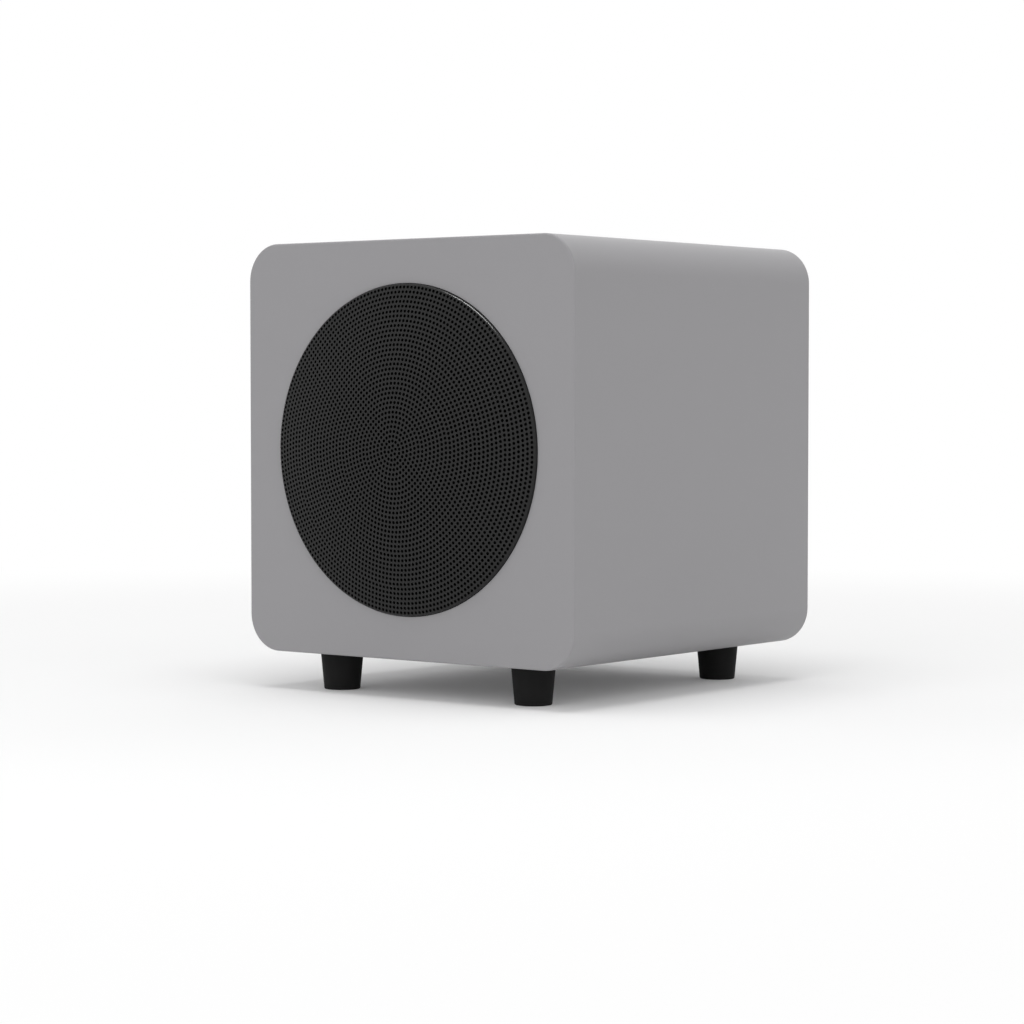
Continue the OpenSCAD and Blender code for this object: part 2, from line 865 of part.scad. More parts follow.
module control_pots() {
  color(alloy) pot_places() difference() {
    union() {
      translate([0, 0, -panel_t - pot_h]) cylinder(d = pot_d, h = pot_h, $fn = fine);
      translate([0, 0, -panel_t]) cylinder(d = bushing_d, h = panel_t + bushing_h, $fn = small);
    }
    translate([0, 0, pot_floor - panel_t - pot_h])
      cylinder(d = shaft_d + 2 * shaft_gap, h = pot_h + panel_t + bushing_h, $fn = small);
  }
}

module pot_nuts() {
  color(steel) pot_places() hex_nut(nut_w, bushing_d, nut_h);
}

module pot_shaft(at) {
  bottom = pot_floor + shaft_lift - panel_t - pot_h;
  color(alloy) on_rear(at) difference() {
    translate([0, 0, bottom]) cylinder(d = shaft_d, h = shaft_top - bottom, $fn = small);
    translate([-shaft_d, shaft_flat_y, bushing_h + shaft_flat_lift]) cube([2 * shaft_d, shaft_d, shaft_top]);
  }
}

module knob(at) {
  r = knob_d / 2;
  top_r = r - knob_taper;
  color(black) on_rear(at) translate([0, 0, knob_lift]) difference() {
    rotate_extrude($fn = fine) difference() {
      polygon([[0, 0], [r, 0], [top_r, knob_h - knob_bevel], [top_r - knob_bevel, knob_h], [0, knob_h]]);
      square([nut_w / 2 + nut_clear, bushing_h]);
    }
    intersection() {
      cylinder(d = shaft_d + 2 * thread_gap, h = shaft_top - knob_lift + thread_gap, $fn = small);
      translate([0, shaft_flat_y + thread_gap - shaft_d, 0]) block([2 * shaft_d, 2 * shaft_d, knob_h]);
    }
    for (i = [0 : flute_n - 1]) rotate(360 / flute_n * (i + 0.5))
      translate([r + flute_out, 0, flute_from]) cylinder(d = flute_d, h = knob_h, $fn = small);
    translate([0, r - (pointer_l + pointer_w) / 2, knob_h - pointer_deep])
      block([pointer_w, pointer_l, pointer_deep + cut]);
  }
}

module volume_shaft() {
  pot_shaft(volume_at);
}

module volume_knob() {
  knob(volume_at);
}

module crossover_shaft() {
  pot_shaft(crossover_at);
}

module crossover_knob() {
  knob(crossover_at);
}

// ---- slide switches ----

// Length of the slot for a lever with the given whole travel
function slot_w(travel) = lever_w + travel + 2 * slide_gap;

module slide_switch(at, travel) {
  pocket_w = slot_w(travel) + 2 * lever_base;
  pocket_h = lever_h + 2 * lever_flange + 2 * slide_gap;
  color(black) on_rear(at) difference() {
    translate([0, 0, -panel_t - switch_t]) block([switch_w, switch_h, switch_t]);
    translate([0, 0, -panel_t - switch_pocket]) block([pocket_w, pocket_h, switch_pocket + cut]);
  }
}

module slide_switches() {
  slide_switch(phase_at, phase_travel);
  slide_switch(mode_at, 2 * mode_travel);
}

module slide_lever(at, rest_x) {
  stem_z = lever_base_t - panel_t - lever_sink;
  color(steel) on_rear(at) translate([rest_x, 0, 0]) {
    translate([0, 0, -panel_t - lever_sink])
      block([lever_w + 2 * lever_base, lever_h + 2 * lever_flange, lever_base_t]);
    difference() {
      translate([0, 0, stem_z]) block([lever_w, lever_h, lever_out - stem_z]);
      for (x = [-1, 0, 1]) translate([x * groove_pitch, 0, lever_out - groove_deep])
        block([groove_w, 2 * lever_h, groove_deep + cut]);
    }
  }
}

module phase_lever() {
  slide_lever(phase_at, -phase_travel / 2);
}

module mode_lever() {
  slide_lever(mode_at, 0);
}

module status_light() {
  color(lit_green) on_rear(light_at) {
    translate([0, 0, -panel_t - light_tail])
      cylinder(d = light_d, h = light_tail + panel_t + light_nose, $fn = small);
    translate([0, 0, -panel_t - light_rim_t])
      cylinder(d = light_d + 2 * light_rim, h = light_rim_t, $fn = small);
  }
}

// ---- line inputs ----

module rca_places() {
  for (s = [-1, 1]) on_rear(rca_at + [s * rca_spread / 2, 0]) children();
}

module rca_block() {
  color(black) difference() {
    union() {
      on_rear(rca_at) translate([0, 0, -panel_t - rca_block_t])
        block([rca_spread + rca_block_h, rca_block_h, rca_block_t]);
      rca_places() translate([0, 0, -panel_t])
        cylinder(d = rca_d + 2 * rca_collar, h = panel_t + rca_nose, $fn = small);
    }
    rca_places() translate([0, 0, -rca_pin_depth])
      cylinder(r = rca_d / 2 - rca_step, h = rca_pin_depth + cut, $fn = small);
  }
}

module rca_shells() {
  r = rca_d / 2;
  bore_r = r - rca_wall;
  color(steel) rca_places() rotate_extrude($fn = small) polygon([
    [bore_r, -rca_pin_depth], [r - rca_step, -rca_pin_depth], [r - rca_step, rca_nose],
    [r, rca_nose], [r, rca_length], [bore_r, rca_length]]);
}

module rca_insert(side) {
  h = rca_pin_depth + rca_length - rca_insert_drop;
  on_rear(rca_at + [side * rca_spread / 2, 0]) translate([0, 0, -rca_pin_depth]) difference() {
    cylinder(d = rca_d - 2 * rca_wall, h = h, $fn = small);
    translate([0, 0, h - rca_pin_depth]) cylinder(d = rca_pin_d, h = rca_pin_depth + cut, $fn = small);
  }
}

module rca_insert_left() {
  color(white) rca_insert(-1);
}

module rca_insert_right() {
  color(red) rca_insert(1);
}

// ---- mains inlet with its fuse ----

module inlet_screw_places() {
  for (s = [-1, 1]) on_rear(inlet_at + [s * inlet_screw_x, 0]) children();
}

module blade_places() {
  for (p = [[-blade_spread, -blade_offset / 2], [0, blade_offset / 2], [blade_spread, -blade_offset / 2]])
    translate([p[0], socket_up + p[1], inlet_t - socket_depth]) children();
}

module power_inlet() {
  floor_z = inlet_t - socket_depth;
  well_l = drawer_l + fuse_room;
  color(black) on_rear(inlet_at) difference() {
    union() {
      linear_extrude(inlet_t) rounded(inlet_w, inlet_h, inlet_r);
      translate([0, 0, -inlet_body[2]]) block(inlet_body);
    }
    translate([0, socket_up, floor_z]) linear_extrude(socket_depth + cut) socket_outline();
    blade_places() translate([0, 0, -inlet_body[2]])
      block([blade[0] + 2 * thread_gap, blade[1] + 2 * thread_gap, inlet_body[2] + cut]);
    translate([0, -drawer_down, inlet_t - well_l])
      block([drawer_w + 2 * slide_gap, drawer_h + 2 * slide_gap, well_l + cut]);
    for (s = [-1, 1]) translate([s * inlet_screw_x, 0, -cut])
      cylinder(d = inlet_screw_d + 2 * screw_gap, h = inlet_t + 2 * cut, $fn = small);
  }
}

module inlet_pins() {
  tail = inlet_body[2] + inlet_t - socket_depth + blade_tail;
  color(steel) on_rear(inlet_at) blade_places()
    translate([0, 0, -tail]) block([blade[0], blade[1], tail + blade_l]);
}

module inlet_screws() {
  color(steel) inlet_screw_places() translate([0, 0, inlet_t])
    screw(inlet_head_d, inlet_head_h, inlet_screw_d, inlet_t + panel_t + inlet_screw_end);
}

module inlet_nuts() {
  color(steel) inlet_screw_places() translate([0, 0, -panel_t - inlet_nut_h])
    hex_nut(inlet_nut_w, inlet_screw_d, inlet_nut_h);
}

module fuse_drawer() {
  color(black) on_rear(inlet_at) translate([0, -drawer_down, inlet_t]) {
    difference() {
      block(drawer_face);
      translate([0, drawer_face[1] / 2 - notch_in, notch_in]) block([notch[0], notch[1], drawer_face[2]]);
    }
    difference() {
      translate([0, 0, -drawer_l]) block([drawer_w, drawer_h, drawer_l]);
      translate([0, drawer_wall, -fuse_depth - fuse_d / 2 - fuse_room])
        block([fuse_l + 2 * fuse_room, drawer_h, fuse_d + 2 * fuse_room]);
    }
  }
}

module fuse() {
  y = fuse_d / 2 + drawer_wall - drawer_h / 2 - drawer_down;
  color(alloy) on_rear(inlet_at) translate([-fuse_l / 2, y, inlet_t - fuse_depth]) rotate([0, 90, 0])
    cylinder(d = fuse_d, h = fuse_l, $fn = small);
}

// ---- mains rocker ----

module rocker_frame() {
  hole_w = rocker_w + 2 * slide_gap;
  hole_h = 2 * (rocker_half + rocker_room);
  color(black) on_rear(rocker_at) difference() {
    union() {
      block([frame_w, frame_h, frame_t]);
      translate([0, 0, -frame_body[2]]) block(frame_body);
    }
    translate([0, 0, frame_floor - frame_body[2]]) block([hole_w, hole_h, frame_body[2] + frame_t]);
    translate([-frame_body[0], 0, rocker_pivot]) rotate([0, 90, 0])
      cylinder(d = pivot_d + 2 * slide_gap, h = 2 * frame_body[0], $fn = small);
  }
}

module power_rocker() {
  top = rocker_rise - rocker_pivot;
  skirt = rocker_skirt - rocker_pivot;
  outline = [[-rocker_half, skirt], [-rocker_half, top], [0, top - rocker_dip], [rocker_half, top],
    [rocker_half, skirt], [rocker_hub, -rocker_hub], [-rocker_hub, -rocker_hub]];
  color(black) on_rear(rocker_at) translate([0, 0, rocker_pivot]) rotate([rocker_tilt, 0, 0]) {
    translate([-rocker_w / 2, 0, 0]) rotate([90, 0, 90]) linear_extrude(rocker_w) polygon(outline);
    translate([-frame_body[0] / 2, 0, 0]) rotate([0, 90, 0])
      cylinder(d = pivot_d, h = frame_body[0], $fn = small);
  }
}

// ---- electronics ----

module spacer_places() {
  for (x = [-1, 1], y = [-1, 1]) on_rear([x * spacer_x, board_up + y * spacer_y]) children();
}

module circuit_board() {
  color(green) difference() {
    on_rear([0, board_up]) translate([0, 0, board_z - board_t]) block([board_w, board_h, board_t]);
    spacer_places() translate([0, 0, board_z - board_t - cut])
      cylinder(d = board_screw_d + 2 * screw_gap, h = board_t + 2 * cut, $fn = small);
  }
}

module board_spacers() {
  color(brass) spacer_places() difference() {
    translate([0, 0, board_z]) cylinder(d = spacer_d, h = spacer_h, $fn = 6);
    translate([0, 0, board_z - cut])
      cylinder(d = board_screw_d + 2 * thread_gap, h = spacer_bore + cut, $fn = small);
  }
}

module board_screws() {
  color(steel) spacer_places() translate([0, 0, board_z - board_t]) mirror([0, 0, 1])
    screw(board_head_d, board_head_h, board_screw_d, board_t + board_screw_grip);
}

// Places a piece on the free side of the board, away from the panel
module on_board(at) {
  on_rear(at) translate([0, 0, board_z - board_t]) mirror([0, 0, 1]) children();
}

module capacitors() {
  color(black) for (i = [0, 1]) on_board(capacitor_at + [0, i * capacitor_step])
    cylinder(d = capacitor_d, h = capacitor_h, $fn = fine);
}

module transformer() {
  color(brass) on_board(transformer_at) {
    block(core);
    translate([0, 0, winding_lift]) block(winding);
  }
}

module heat_sink() {
  pitch = (sink[0] - fin_t) / (fin_n - 1);
  color(alloy) on_board(sink_at) {
    block([sink[0], sink[1], sink_base_t]);
    for (i = [0 : fin_n - 1]) translate([(fin_t - sink[0]) / 2 + pitch * i, 0, 0])
      block([fin_t, sink[1], sink[2]]);
  }
}

module speaker_connector() {
  color(black) on_board([-seat_r - terminal_l / 2, 0]) block(connector);
}

// A round lead along a list of points, with a ball at each bend
module lead(points) {
  for (i = [0 : len(points) - 2]) {
    d = points[i + 1] - points[i];
    translate(points[i]) rotate([0, acos(d[2] / norm(d)), atan2(d[1], d[0])])
      cylinder(r = lead_r, h = norm(d), $fn = small);
  }
  for (i = [1 : len(points) - 2]) translate(points[i]) sphere(lead_r + lead_bend, $fn = small);
}

module speaker_lead(side) {
  x = seat_r + terminal_l / 2;
  low_x = x + lead_side;
  y0 = front_y - flange_z - terminal_z + tab_l;
  y1 = rear_y + board_z - board_t - connector[2];
  z = axis_z + side * tab_gap / 2;
  low_z = z - lead_droop;
  lead([[x, y0, z], [x, y0 + lead_start, z], [low_x, y0 + lead_turn, low_z],
    [low_x, y1 - lead_turn, low_z], [x, y1 - lead_start, z], [x, y1, z]]);
}

module speaker_leads() {
  color(red) speaker_lead(1);
  color(black) speaker_lead(-1);
}

cabinet();
front_baffle();
rear_panel();
damping_pads();
foot_front_left();
foot_front_right();
foot_rear_left();
foot_rear_right();
foot_washers();
foot_screws();
grille();
grille_ring();
basket();
driver_gasket();
driver_screws();
trim_ring();
surround();
cone();
dust_cap();
spider();
coil_former();
voice_coil();
top_plate();
magnet();
back_plate();
terminal_strip();
terminal_tabs();
amplifier_panel();
panel_gasket();
panel_screws();
control_pots();
pot_nuts();
volume_shaft();
volume_knob();
crossover_shaft();
crossover_knob();
slide_switches();
phase_lever();
mode_lever();
status_light();
rca_block();
rca_shells();
rca_insert_left();
rca_insert_right();
power_inlet();
inlet_pins();
inlet_screws();
inlet_nuts();
fuse_drawer();
fuse();
rocker_frame();
power_rocker();
circuit_board();
board_spacers();
board_screws();
capacitors();
transformer();
heat_sink();
speaker_connector();
speaker_leads();
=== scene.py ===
# %% [markdown]
# # A compact cube subwoofer
# The real object is a painted fibreboard cube with one driver behind a domed steel grille, four rubber
# feet and an amplifier plate at the back. The exact construction is loaded first as a frame. The pieces
# whose looks need more care are then modelled over it, and every surface gets a finish.

# %% Start
import math
import bmesh
import bpy
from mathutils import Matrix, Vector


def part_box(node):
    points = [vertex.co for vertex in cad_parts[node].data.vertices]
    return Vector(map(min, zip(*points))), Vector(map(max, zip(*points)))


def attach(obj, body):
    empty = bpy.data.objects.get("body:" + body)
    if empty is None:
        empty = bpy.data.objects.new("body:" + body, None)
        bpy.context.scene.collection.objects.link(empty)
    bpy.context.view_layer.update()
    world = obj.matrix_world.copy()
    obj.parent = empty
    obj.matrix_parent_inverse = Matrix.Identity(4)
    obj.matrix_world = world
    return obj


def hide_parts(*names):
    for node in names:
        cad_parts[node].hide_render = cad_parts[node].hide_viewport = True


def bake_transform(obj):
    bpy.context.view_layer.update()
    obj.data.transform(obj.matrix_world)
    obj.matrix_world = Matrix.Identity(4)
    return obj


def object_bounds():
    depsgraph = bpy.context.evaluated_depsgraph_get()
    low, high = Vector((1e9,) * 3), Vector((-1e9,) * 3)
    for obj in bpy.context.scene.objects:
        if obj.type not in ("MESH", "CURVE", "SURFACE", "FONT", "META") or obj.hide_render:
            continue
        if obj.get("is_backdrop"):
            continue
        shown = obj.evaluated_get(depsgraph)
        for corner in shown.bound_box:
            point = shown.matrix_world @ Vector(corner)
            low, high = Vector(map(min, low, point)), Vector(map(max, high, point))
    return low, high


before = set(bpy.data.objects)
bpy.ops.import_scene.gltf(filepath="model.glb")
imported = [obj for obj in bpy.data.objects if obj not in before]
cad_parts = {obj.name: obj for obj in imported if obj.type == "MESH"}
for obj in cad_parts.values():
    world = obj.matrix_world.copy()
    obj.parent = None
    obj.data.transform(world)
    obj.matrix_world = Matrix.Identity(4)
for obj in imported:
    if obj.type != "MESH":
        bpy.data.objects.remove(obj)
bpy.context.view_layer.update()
print("the frame has", len(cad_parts), "pieces")

# %% [markdown]
# ## Measures
# Blender works in metres. The sizes of the pieces come from the boxes of the construction, so the looks
# follow it if it changes. A box tells nothing of an edge or a gap, so those have a value of their own.
# Points and faces are found by their place to within a margin of a tenth of a millimetre.

# %% Measures
MM = 0.001
cabinet_low, cabinet_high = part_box("cabinet")
grille_low, grille_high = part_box("grille")
foot_low, foot_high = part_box("foot_front_left")
baffle_low, baffle_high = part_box("front_baffle")
front_y = cabinet_low[1]
rear_y = cabinet_high[1]
axis_x = (cabinet_low[0] + cabinet_high[0]) / 2
axis_z = (cabinet_low[2] + cabinet_high[2]) / 2
axis_point = (axis_x, 0, axis_z)
long_edge_r = 20 * MM
front_edge_r = 1.05 * MM
fit_gap = 0.25 * MM
margin = 0.1 * MM
same_place = 0.001 * MM
wall_t = cabinet_high[0] - baffle_high[0]
print("front face at", round(front_y / MM, 2), "mm, driver axis at", round(axis_z / MM, 2), "mm")

# %% [markdown]
# ## Small tools for modelling
# An operator works on whatever is selected, and loading the frame leaves its pieces selected. Every
# step therefore starts from an empty selection, and picks its edges and faces by their place.

# %% Selecting
def clear_selection():
    active = bpy.context.view_layer.objects.active
    if active is not None and active.mode != "OBJECT":
        bpy.ops.object.mode_set(mode="OBJECT")
    bpy.ops.object.select_all(action="DESELECT")


def take(obj):
    clear_selection()
    obj.select_set(True)
    bpy.context.view_layer.objects.active = obj


def start_editing(obj, kind):
    take(obj)
    bpy.ops.object.mode_set(mode="EDIT")
    bpy.ops.mesh.select_mode(type=kind)
    bpy.ops.mesh.select_all(action="DESELECT")
    return bmesh.from_edit_mesh(obj.data)


def pick_edges(obj, wanted):
    shape = start_editing(obj, "EDGE")
    for edge in shape.edges:
        if wanted(*[v.co for v in edge.verts]):
            edge.select_set(True)
    bmesh.update_edit_mesh(obj.data)


def pick_faces(obj, wanted):
    shape = start_editing(obj, "FACE")
    for face in shape.faces:
        if wanted(face):
            face.select_set(True)
    bmesh.update_edit_mesh(obj.data)


def stop_editing():
    bpy.ops.object.mode_set(mode="OBJECT")


print("pieces selected after loading:", len(bpy.context.selected_objects))
clear_selection()
print("pieces selected now:", len(bpy.context.selected_objects))

# %% [markdown]
# A new primitive keeps its place in its object. The place is moved into the mesh at once, so that every
# finished piece has its object at the origin, as the pieces of the frame have. Holes are cut with a drum
# or a block, through a Boolean modifier that is applied at once. Round forms are shaded smooth, and
# weighted normals keep the flat faces beside them flat.

# %% Starting a piece
drum_sides = 256


def settle(obj, name):
    obj.name = name
    take(obj)
    bpy.ops.object.transform_apply(location=True, rotation=True, scale=True)
    return obj


def add_block(name, low, high):
    clear_selection()
    bpy.ops.mesh.primitive_cube_add(size=1, location=[(a + b) / 2 for a, b in zip(low, high)])
    obj = bpy.context.object
    obj.scale = [b - a for a, b in zip(low, high)]
    return settle(obj, name)


def add_drum(name, r, y0, y1):
    clear_selection()
    bpy.ops.mesh.primitive_cylinder_add(
        vertices=drum_sides, radius=r, depth=y1 - y0, rotation=(math.pi / 2, 0, 0),
        location=(axis_x, (y0 + y1) / 2, axis_z))
    return settle(bpy.context.object, name)


def cut_away(obj, cutter):
    take(obj)
    step = obj.modifiers.new("cut", "BOOLEAN")
    step.operation = "DIFFERENCE"
    step.solver = "EXACT"
    step.object = cutter
    bpy.ops.object.modifier_apply(modifier=step.name)
    bpy.data.objects.remove(cutter, do_unlink=True)


def smooth_off(obj):
    take(obj)
    bpy.ops.object.shade_smooth_by_angle(angle=math.radians(30))
    step = obj.modifiers.new("flat faces stay flat", "WEIGHTED_NORMAL")
    step.keep_sharp = True
    bpy.ops.object.modifier_apply(modifier=step.name)


def report(obj):
    print(obj.name, "has", sum(len(p.vertices) - 2 for p in obj.data.polygons), "triangles")


print("a drum has", drum_sides, "sides")

# %% [markdown]
# ## The painted cabinet
# The real cabinet is four mitred walls with large rounded edges, a glued front panel, and a coat of
# satin paint over all of it, so no seam shows. It starts as a cube. The four edges that run from front
# to back are bevelled wide, and then the front and rear perimeters get a fine bevel, which is what
# catches a thin line of light on the real one.

# %% Cabinet block
def runs_back(a, b):
    return abs(a.y - b.y) > 100 * MM


def lies_level(a, b):
    return abs(a.y - b.y) < same_place


cabinet_body = add_block("cabinet_body", cabinet_low, cabinet_high)
pick_edges(cabinet_body, runs_back)
bpy.ops.mesh.bevel(offset=long_edge_r, segments=20, profile=0.5, affect="EDGES")
stop_editing()
pick_edges(cabinet_body, lies_level)
bpy.ops.mesh.bevel(offset=front_edge_r, segments=4, profile=0.5, affect="EDGES")
stop_editing()
report(cabinet_body)

# %% [markdown]
# The front has a shallow round seat for the grille and, inside it, a through hole for the driver. The
# hollow inside runs out at the rear, where the amplifier closes it. Three cutters make these forms, and
# each runs past the face that it opens, so that no thin skin is left there.

# %% Cabinet openings
past = 10 * MM
seat_r = (grille_high[0] - grille_low[0]) / 2 + fit_gap
seat_y = grille_high[1]
driver_low, driver_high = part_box("basket")
flange_r = (driver_high[0] - driver_low[0]) / 2 + fit_gap
cut_away(cabinet_body, add_drum("seat_cutter", seat_r, front_y - past, seat_y))
cut_away(cabinet_body, add_drum("driver_cutter", flange_r, front_y - past, baffle_low[1] + past))
hollow_low = tuple(baffle_low)
hollow_high = (baffle_high[0], rear_y + past, baffle_high[2])
hollow = add_block("hollow_cutter", hollow_low, hollow_high)
pick_edges(hollow, runs_back)
bpy.ops.mesh.bevel(offset=long_edge_r - wall_t, segments=8, profile=0.5, affect="EDGES")
stop_editing()
cut_away(cabinet_body, hollow)
smooth_off(cabinet_body)
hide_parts("cabinet")
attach(cabinet_body, "base")
report(cabinet_body)

# %% [markdown]
# The paint covers only what shows. Behind the grille the seat and the driver's opening are coloured black
# as painted shade, so that nothing pale shows through the holes, and the walls inside stay raw board.
# Each of the three gets a material slot, and the faces are given to it by their place.

# %% Cabinet slots
def seat_face(face):
    c = face.calc_center_median()
    r = math.hypot(c.x - axis_x, c.z - axis_z)
    return r < seat_r + margin and front_y + margin < c.y < baffle_low[1] + margin


def inside_face(face):
    c = face.calc_center_median()
    within = all(low - margin < v < high + margin for low, v, high in zip(hollow_low, c, hollow_high))
    return within and abs(face.normal.y) < 0.1 and not seat_face(face)


for wanted in (None, seat_face, inside_face):
    take(cabinet_body)
    bpy.ops.object.material_slot_add()
    if wanted:
        pick_faces(cabinet_body, wanted)
        bpy.ops.object.material_slot_assign()
        stop_editing()
counts = [sum(p.material_index == i for p in cabinet_body.data.polygons) for i in range(3)]
print("faces painted, black and raw:", counts)

# %% [markdown]
# ## The perforated grille
# The real grille is a sheet of steel, punched with small round holes on concentric circles, pressed into
# a shallow dome and turned back round its rim. The sheet is made in the same order here, because holes
# cut into a finished dome by thousands of Boolean steps would be slow and untidy. This cell settles the
# pattern: one hole in the middle, and rings that each hold about 2 pi holes more than the one inside
# them, so the pitch along a ring stays close to the pitch between the rings. Pressing moves a point
# outwards, so flat_r gives the place in the flat blank of a point that ends up at a given radius.

# %% Hole pattern
sheet_t = 1.0 * MM
hole_r = 0.88 * MM
hole_pitch = 2.519 * MM
hole_sides = 8
ring_total = 34
ring_turn = math.radians(-42)
grille_r = (grille_high[0] - grille_low[0]) / 2
rim_rise = 1.5 * MM
shoulder_r = 1.3 * MM
dome_top = front_y - grille_low[1]
dome_rise = dome_top - rim_rise
dome_r = (grille_r ** 2 + dome_rise ** 2) / (2 * dome_rise)
blank_out = dome_r - dome_rise
rim_angle = math.asin(grille_r / dome_r)
sheet_edge_r = grille_r - shoulder_r * (1 - math.sin(rim_angle))
ball_y = grille_low[1] + dome_r
blank_y = ball_y - blank_out


def holes_in_ring(k):
    return 6 if k == 1 else 2 * math.ceil(math.pi * k)


def flat_r(r):
    return r * blank_out / math.sqrt(dome_r ** 2 - r ** 2)


def circle_between(k):
    return flat_r(min((k + 0.5) * hole_pitch, sheet_edge_r))


print("holes:", 1 + sum(holes_in_ring(k) for k in range(1, ring_total + 1)))

# %% [markdown]
# Each ring is punched by itself. One small circle is the outline of a hole, and a spin copies it round
# the ring. Two plain circles close the ring on both sides, and a fill lays the sheet between all the
# outlines. Neighbouring rings share a circle, so they join without gaps.

# %% Punched rings
def add_circle(r, sides, x=0.0, z=0.0):
    bpy.ops.mesh.primitive_circle_add(
        vertices=sides, radius=r, rotation=(math.pi / 2, 0, 0), location=(axis_x + x, blank_y, axis_z + z))


def punched_ring(k):
    clear_selection()
    add_circle(circle_between(k - 1), holes_in_ring(k))
    ring = settle(bpy.context.object, "punched_ring")
    start_editing(ring, "VERT")
    add_circle(circle_between(k), holes_in_ring(k + 1))
    bpy.ops.mesh.select_all(action="DESELECT")
    r = flat_r(k * hole_pitch)
    add_circle(hole_r, hole_sides, r * math.cos(ring_turn), r * math.sin(ring_turn))
    n = holes_in_ring(k)
    bpy.ops.mesh.spin(
        steps=n - 1, dupli=True, angle=math.tau * (n - 1) / n, center=axis_point, axis=(0, 1, 0))
    bpy.ops.mesh.select_all(action="SELECT")
    bpy.ops.mesh.fill(use_beauty=True)
    stop_editing()
    return ring


rings = [punched_ring(k) for k in range(1, ring_total + 1)]
clear_selection()
add_circle(circle_between(0), holes_in_ring(1))
middle = settle(bpy.context.object, "grille_middle")
start_editing(middle, "VERT")
add_circle(hole_r, hole_sides)
bpy.ops.mesh.select_all(action="SELECT")
bpy.ops.mesh.fill(use_beauty=True)
stop_editing()
print("rings punched:", len(rings))

# %% [markdown]
# The rings are joined and the shared points merged. A Cast modifier then presses the blank onto a large
# ball, whose centre is marked by an empty: every point moves along its ray until it lies on the ball.
# The radii of the blank allow for that, so the pressed holes keep an even pitch.

# %% Pressing the dome
take(middle)
for ring in rings:
    ring.select_set(True)
bpy.ops.object.join()
grille_sheet = middle
grille_sheet.name = "grille_sheet"
start_editing(grille_sheet, "VERT")
bpy.ops.mesh.select_all(action="SELECT")
bpy.ops.mesh.remove_doubles(threshold=0.01 * MM)
bpy.ops.mesh.normals_make_consistent(inside=False)
stop_editing()
if sum(p.normal.y * p.area for p in grille_sheet.data.polygons) > 0:
    grille_sheet.data.flip_normals()
clear_selection()
bpy.ops.object.empty_add(location=(axis_x, ball_y, axis_z))
ball_centre = bpy.context.object
take(grille_sheet)
press = grille_sheet.modifiers.new("dome", "CAST")
press.object = ball_centre
press.factor = 1
press.radius = 0
press.size = dome_r
press.use_radius_as_size = False
bpy.ops.object.modifier_apply(modifier=press.name)
bpy.data.objects.remove(ball_centre, do_unlink=True)
print("dome from", round(min(v.co.y for v in grille_sheet.data.vertices) / MM, 3), "mm")

# %% [markdown]
# The rim is turned back over a small radius and runs into the seat as a straight skirt. The outer edge
# is extruded in short steps, each a little wider and lower. Solidify then gives the steel its thickness,
# which also makes the walls of the holes. Walls and back go to a second material slot, which is coloured
# near black as painted shade, so that the holes read dark.

# %% Shoulder and skirt
shoulder_steps = 8


def outer_edge(a, b):
    return min(math.hypot(v.x - axis_x, v.z - axis_z) for v in (a, b)) > sheet_edge_r - 0.02 * MM


pick_edges(grille_sheet, outer_edge)
now_r, now_y = sheet_edge_r, 0.0
for i in range(1, shoulder_steps + 1):
    a = rim_angle + (math.pi / 2 - rim_angle) * i / shoulder_steps
    next_r = grille_r - shoulder_r * (1 - math.sin(a))
    next_y = shoulder_r * (math.cos(rim_angle) - math.cos(a))
    bpy.ops.mesh.extrude_edges_move(TRANSFORM_OT_translate={"value": (0, next_y - now_y, 0)})
    bpy.ops.transform.resize(value=(next_r / now_r, 1, next_r / now_r), center_override=axis_point)
    now_r, now_y = next_r, next_y
skirt_y = max(v.co.y for v in bmesh.from_edit_mesh(grille_sheet.data).verts)
bpy.ops.mesh.extrude_edges_move(TRANSFORM_OT_translate={"value": (0, seat_y - skirt_y, 0)})
stop_editing()
take(grille_sheet)
bpy.ops.object.material_slot_add()
bpy.ops.object.material_slot_add()
thicken = grille_sheet.modifiers.new("sheet", "SOLIDIFY")
thicken.thickness = sheet_t
thicken.offset = -1
thicken.material_offset = 1
thicken.material_offset_rim = 1
bpy.ops.object.modifier_apply(modifier=thicken.name)
bpy.ops.object.shade_smooth_by_angle(angle=math.radians(35))
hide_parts("grille")
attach(grille_sheet, "base")
report(grille_sheet)

# %% [markdown]
# ## The rubber feet
# A real foot is one turned or moulded plug of rubber, wider at the top, with soft edges and a recess
# underneath for its screw and washer. One is made from a cylinder and copied three times. Its top is
# widened, the recess is inset and pushed up from below, and a bevel softens the rims at the floor.

# %% Feet
bottom_r = 9.85 * MM
recess_r = 5.5 * MM
recess_h = 9 * MM
foot_rim_r = 0.7 * MM


